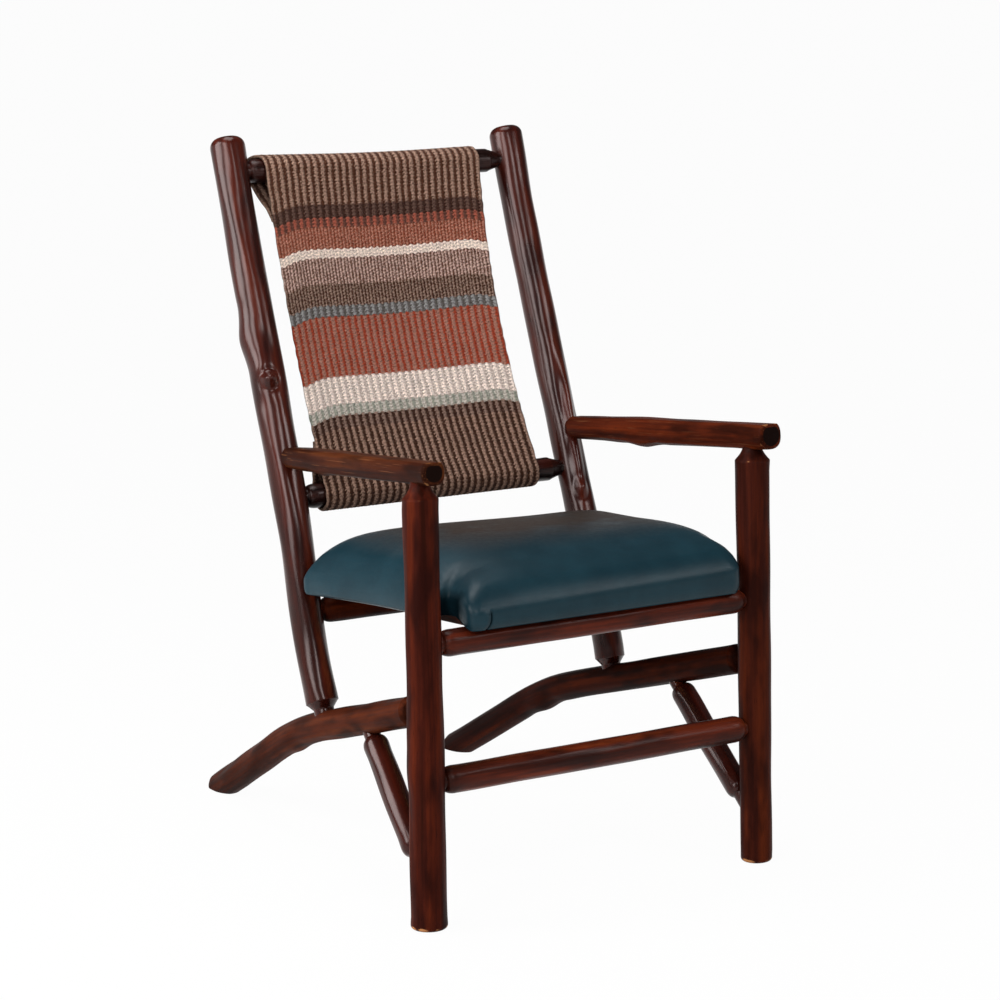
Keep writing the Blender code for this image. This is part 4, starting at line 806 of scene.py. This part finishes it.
def makeWool():
    material, add = newMaterial("wool yarn, rib woven")
    f = woolFinish
    weave = add("Attribute", attribute_name="weave", out=1)
    u = add("SeparateXYZ", [weave])
    v = u.node.outputs[1]
    speck, fuzz, drift = (add("TexNoise", {"Vector": weave, "Scale": 1 / f[k], "Detail": 2.0})
                          for k in ("speck", "fuzz", "drift"))
    stray, sway = (add("Math", [noise, 0.5], operation="SUBTRACT") for noise in (speck, drift))
    # position in ribs, pushed about by stray fibres and by the cloth's own sway
    ribs = add("Math", [u, sling["rib"]], operation="DIVIDE")
    for push, far in ((stray, "ribStray"), (sway, "ribSway")):
        ribs = add("Math", [push, f[far], ribs], operation="MULTIPLY_ADD")
    # stitches slant to and fro along each rib
    slant = add("Math", [ribs, 1.0], operation="PINGPONG")
    rowPlace = v
    for push, far in ((slant, "slant"), (stray, "rowStray")):
        rowPlace = add("Math", [push, f[far], rowPlace], operation="MULTIPLY_ADD")
    rowPlace = add("Math", [rowPlace, 2 * math.pi / f["stitch"]], operation="MULTIPLY")
    stitch = add("Math", [rowPlace], operation="SINE")
    waves = []
    for pace in (1.0, 2.0):  # broad ribs, and fine ones half as wide
        turn = add("Math", [ribs, pace], operation="MULTIPLY")
        turn = add("Math", [turn, 1.0], operation="PINGPONG")
        turn = add("Math", [stitch, f["stitchPush"], turn], operation="MULTIPLY_ADD")
        waves.append(add("MapRange", [turn, *f["ribEdge"]]))
    # stripe edges step from rib to rib and fray
    step = v
    for push, far in ((waves[0], "jag"), (stray, "ragged")):
        step = add("Math", [push, f[far], step], operation="MULTIPLY_ADD")
    low, high = f["span"]
    place = add("MapRange", [step, low, high, 0.0, 1.0])
    starts = [0.0] + [(top - low) / (high - low) for top, *_ in stripes[:-1]]
    fine = ["#ffffff" if row[3] else "#000000" for row in stripes]
    columns = []
    for colours in ([row[1] for row in stripes], [row[2] for row in stripes], fine):
        columns.append(add("ValToRGB", [place], stops=list(zip(starts, colours))))
        columns[-1].node.color_ramp.interpolation = "CONSTANT"
    second = add("Mix", {0: columns[2], 2: waves[0], 3: waves[1]}, data_type="FLOAT")
    yarn = add("Mix", {0: second, 6: columns[0], 7: columns[1]}, out=2, data_type="RGBA")
    # light and dark flecks of fibre
    shade = f["plain"]
    for noise, far in ((stitch, "stitchFleck"), (fuzz, "fuzzFleck"), (stray, "strayFleck"),
                       (sway, "swayFleck")):
        shade = add("Math", [noise, f[far], shade], operation="MULTIPLY_ADD")
    shade = add("Math", [shade, f["level"]], operation="MULTIPLY")
    yarn = add("VectorMath", {0: yarn, "Scale": shade}, operation="SCALE")
    lift = fuzz
    for noise, far in ((stitch, "stitchLift"), (speck, "speckLift")):
        lift = add("Math", [noise, f[far], lift], operation="MULTIPLY_ADD")
    bump = add("Bump", {"Height": lift, "Strength": f["relief"], "Distance": f["reliefDepth"]})
    shader = add("BsdfPrincipled", {"Base Color": yarn, "Roughness": 0.95, "IOR": 1.45, "Normal": bump,
                                    "Sheen Weight": 0.04, "Sheen Roughness": 0.5, "Specular IOR Level": 0.06})
    add("OutputMaterial", {"Surface": shader})
    return material


def makeSling(material):
    c = sling
    lowLine, highLine = crossLine["lower_back_rung"], crossLine["top_back_rung"]
    middle = [middleOf(line) for line in (lowLine, highLine)]
    length = float(np.linalg.norm(middle[1] - middle[0]))
    core = c["rung"] + c["thickness"] / 2 + c["clear"]  # from a rung's axis to the middle of the cloth

    def sag(s):
        return 4 * s / length * (1 - s / length)

    # the cloth's section as rows of: distance up the back, towards the front, share of sag, distance along it
    arc = np.linspace(0, math.pi + math.radians(c["wrap"]), c["arcRows"])
    panel = np.linspace(0, length, round(length / c["rowStep"]) + 1)[1:-1]
    rows = [(s, core * (1 - sag(s)), sag(s), s) for s in panel]
    rows = [(-core * math.sin(a), core * math.cos(a), 0, -core * a) for a in arc[::-1]] + rows
    rows += [(length + core * math.sin(a), core * math.cos(a), 0, length + core * a) for a in arc]
    hemSag = sag(c["pocket"])
    hemIn = core * (1 - hemSag) - c["thickness"] - c["ribHeight"] - c["pocketGap"]
    tails = []
    for first, target, way in ((rows[0], c["pocket"], 1), (rows[-1], length - c["pocket"], -1)):
        far = abs(target - first[0])
        tail = []
        for t in np.linspace(0, 1, round(far / c["rowStep"]) + 1)[1:]:
            ease = mix(t, smooth(t), 0.5)
            tail.append((mix(first[0], target, t), mix(first[1], hemIn, ease), hemSag * ease,
                         first[3] - way * far * t))
        tails.append(tail)
    rows = np.array([*tails[0][::-1], *rows, *tails[1]])

    ribCount = round(2 * c["halfWidth"] / c["rib"])
    across = np.linspace(-1, 1, ribCount * c["perRib"] + 1)
    x = middle[0][0] + c["offset"] + across * c["halfWidth"]
    low, high = (np.stack([x, *(np.interp(x, line[:, 0], line[:, k]) for k in (1, 2))], -1)
                 for line in (lowLine, highLine))
    up = unit(high - low)
    front = unit(np.cross(np.array([1.0, 0, 0]), up))
    stretch = np.linalg.norm(high - low, axis=1) / length
    s, n, sagging, v = (rows[:, k][:, None] for k in range(4))
    rise = np.where((s >= 0) & (s <= length), s * stretch, s + np.where(s > 0, (stretch - 1) * length, 0))
    depth = c["sag"] * (1 - across**2) * sagging
    grid = low[None] + up[None] * rise[..., None] + front[None] * (n - depth)[..., None]
    grid[..., 0] -= across * c["waist"] * sagging
    # behind the upper rung the left end of the pocket reaches further out
    reach = np.clip((v - length) / core - c["flareFrom"], 0, 1)
    reach = reach * fall(v, rows[-1, 3] - c["flareEnd"], c["flareEase"])
    grid[..., 0] -= c["flare"] * reach * ramp(-across, 0.5, 0.5) ** 2
    # selvedges that waver a little
    grid[..., 0] += (np.abs(across) ** 24) * c["waver"] * np.sin(v * 210 + np.sin(v * 63) * 2)

    normal = unit(np.cross(np.gradient(grid, axis=1), np.gradient(grid, axis=0)))
    u = (across + 1) * c["halfWidth"] * np.ones_like(v)
    rib = 0.6 * np.abs(np.sin(math.pi * u / c["rib"])) + 0.4 * np.cos(math.pi * (u / c["rib"] - 0.5)) ** 2
    rng = np.random.default_rng(5)
    tuft = rng.normal(0, c["tuft"], rib.shape)
    edge = np.clip((1 - np.abs(across)) * c["halfWidth"] / c["edgeRound"], 0, 1) ** 0.5
    half = c["thickness"] / 2 * mix(c["edgeShare"], 1, edge)
    raised = c["ribHeight"] * (rib - 0.5) * edge
    face = grid + normal * (half + raised + tuft)[..., None]
    back = grid - normal * (half + 0.5 * raised - tuft)[..., None]

    dip = c["leftDip"] * np.exp(-(u / c["leftDipReach"]) ** 1.5)
    dip = dip + c["rightDip"] * np.exp(-((2 * c["halfWidth"] - u) / c["rightDipReach"]) ** 1.5)
    weave = np.stack([u, v + dip, np.zeros_like(u)], -1)
    count, columns = rib.shape
    size = count * columns
    quads = gridFaces(count, columns, False)
    faces = [tuple(q) for q in quads] + [(a, d, c, b) for a, b, c, d in quads + size]
    border = [i * columns for i in range(count)] + [(count - 1) * columns + j for j in range(1, columns)]
    border += [i * columns + columns - 1 for i in range(count - 2, -1, -1)] + list(range(columns - 2, 0, -1))
    faces += [(b, a, a + size, b + size) for a, b in zip(border, np.roll(border, -1))]
    points = np.vstack([face.reshape(-1, 3), back.reshape(-1, 3)])
    weave = np.vstack([weave.reshape(-1, 3), weave.reshape(-1, 3) + (0, 0, 0.05)])
    piece = meshPiece("woven_sling", points, faces, material, weave=weave)
    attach(piece, "root")
    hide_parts("back_sling")


makeSling(makeWool())


# Hidden seat parts, which keep the shape they have in the frame
def makePlain(name, colours, size, roughness, metallic=0.0, stretch=(1, 1, 1), gloss=0.5):
    material, add = newMaterial(name)
    place = add("TexCoord", out=3)
    scaled = add("VectorMath", [place, [k / size for k in stretch]], operation="MULTIPLY")
    cloud = add("TexNoise", {"Vector": scaled, "Scale": 1.0, "Detail": 4.0})
    colour = add("ValToRGB", [cloud], stops=list(zip((0.35, 0.65), colours)))
    rough = add("MapRange", [cloud, 0.3, 0.7, roughness - 0.08, roughness + 0.08])
    bump = add("Bump", {"Height": cloud, "Strength": 0.3, "Distance": 0.0005})
    shader = add("BsdfPrincipled", {"Base Color": colour, "Roughness": rough, "Metallic": metallic,
                                    "Normal": bump, "Specular IOR Level": gloss})
    add("OutputMaterial", {"Surface": shader})
    return material


# birch plywood with long pale grain, stained pine strips, blued steel with dull spots, bright zinc
plainFinishes = {
    "seat_board": makePlain("birch plywood, sanded", ("#b08a5c", "#cfae7e"), 0.006, 0.7,
                            stretch=(1, 0.06, 1), gloss=0.2),
    "seat_cleat": makePlain("pine strip, stained dark", ("#1d0d08", "#3a1a10"), 0.004, 0.6,
                            stretch=(1, 0.05, 1), gloss=0.03),
    "upholstery_tack": makePlain("steel tack, blued", ("#2b2c30", "#55565a"), 0.002, 0.42, 1.0),
    "seat_screw": makePlain("steel screw, zinc plated", ("#8c8c88", "#b4b3ad"), 0.002, 0.38, 1.0),
}
for name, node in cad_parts.items():
    for start, finish in plainFinishes.items():
        if name.startswith(start):
            node.data.materials.clear()
            node.data.materials.append(finish)
print("seat parts finished")


studio = {
    "floor": "#cfcfcc", "floorGlow": 0.97, "floorZ": -0.0005, "floorReach": 400.0,
    "world": "#58585a", "horizon": "#ffffff", "horizonTop": (0.06, 0.16), "aim": (0, 0, 0.45),
    # soft boxes: place, size and power; tall ones at the left give the long highlights
    "boxes": {
        "left box": ((-2.30, -1.20, 1.70), (0.90, 1.70), 46),
        "rear left box": ((-2.20, 0.45, 1.60), (1.20, 1.40), 54),
        "front box": ((-0.75, -2.50, 1.95), (0.45, 0.90), 18),
        "right box": ((1.18, -1.85, 1.72), (0.80, 0.36), 13),
        "overhead box": ((-0.2, 0.20, 2.70), (1.30, 1.30), 30),
    },
}


def makeStudio():
    scene = bpy.context.scene
    scene.view_settings.view_transform = "Standard"
    world = bpy.data.worlds.new("studio")
    scene.world = world
    world.use_nodes = True
    world.node_tree.nodes.clear()
    add = partial(addNode, world.node_tree)
    # a dim room above a pale horizon
    way = add("TexCoord")
    height = add("SeparateXYZ", [way], out=2)
    colours = studio["horizon"], studio["world"]
    room = add("ValToRGB", [height], stops=list(zip(studio["horizonTop"], colours)))
    light = add("Background", {"Color": room, "Strength": 1.0})
    add("OutputWorld", {"Surface": light})

    # paper that the camera, gloss and glass see as white, and that keeps the shadow
    material, add = newMaterial("white paper sweep")
    path = add("LightPath").node
    seen = path.outputs["Is Camera Ray"]
    for ray in ("Is Glossy Ray", "Is Transmission Ray"):
        seen = add("Math", [seen, path.outputs[ray]], operation="MAXIMUM")
    share = add("Math", [seen, studio["floorGlow"]], operation="MULTIPLY")
    paper = add("BsdfDiffuse", {"Color": linear(studio["floor"])})
    glow = add("Emission", {"Color": linear("#ffffff"), "Strength": 1.0})
    both = add("MixShader", [share, paper, glow])
    add("OutputMaterial", {"Surface": both})
    far = studio["floorReach"]
    corners = [(x, y, studio["floorZ"]) for x, y in ((-far, -far), (far, -far), (far, far), (-far, far))]
    meshPiece("floor", corners, [(0, 1, 2, 3)], material)

    for name, (place, size, power) in studio["boxes"].items():
        lamp = bpy.data.lights.new(name, "AREA")
        lamp.shape, lamp.size, lamp.size_y, lamp.energy = "RECTANGLE", *size, power
        box = bpy.data.objects.new(name, lamp)
        box.location = place
        box.rotation_euler = (Vector(studio["aim"]) - Vector(place)).to_track_quat("-Z", "Y").to_euler()
        scene.collection.objects.link(box)


camera = {
    "place": (-1.97111, -3.34833, 1.20362), "azimuth": -31.3976, "elevation": 10.6367, "roll": -0.3784,
    "lens": 101.23, "sensor": 36.0,
}


def makeCamera():
    azimuth, elevation, roll = (math.radians(camera[k]) for k in ("azimuth", "elevation", "roll"))
    level = math.cos(elevation)
    behind = Vector((math.sin(azimuth) * level, -math.cos(azimuth) * level, math.sin(elevation)))
    right = Vector((0, 0, 1)).cross(behind).normalized()
    up = behind.cross(right)
    right, up = right * math.cos(roll) + up * math.sin(roll), up * math.cos(roll) - right * math.sin(roll)
    lens = bpy.data.cameras.new("camera")
    lens.sensor_width, lens.lens = camera["sensor"], camera["lens"]
    holder = bpy.data.objects.new("camera", lens)
    turned = Matrix((right, up, behind)).transposed().to_4x4()
    holder.matrix_world = Matrix.Translation(camera["place"]) @ turned
    bpy.context.scene.collection.objects.link(holder)
    bpy.context.scene.camera = holder


makeStudio()
makeCamera()
print("studio and camera ready")
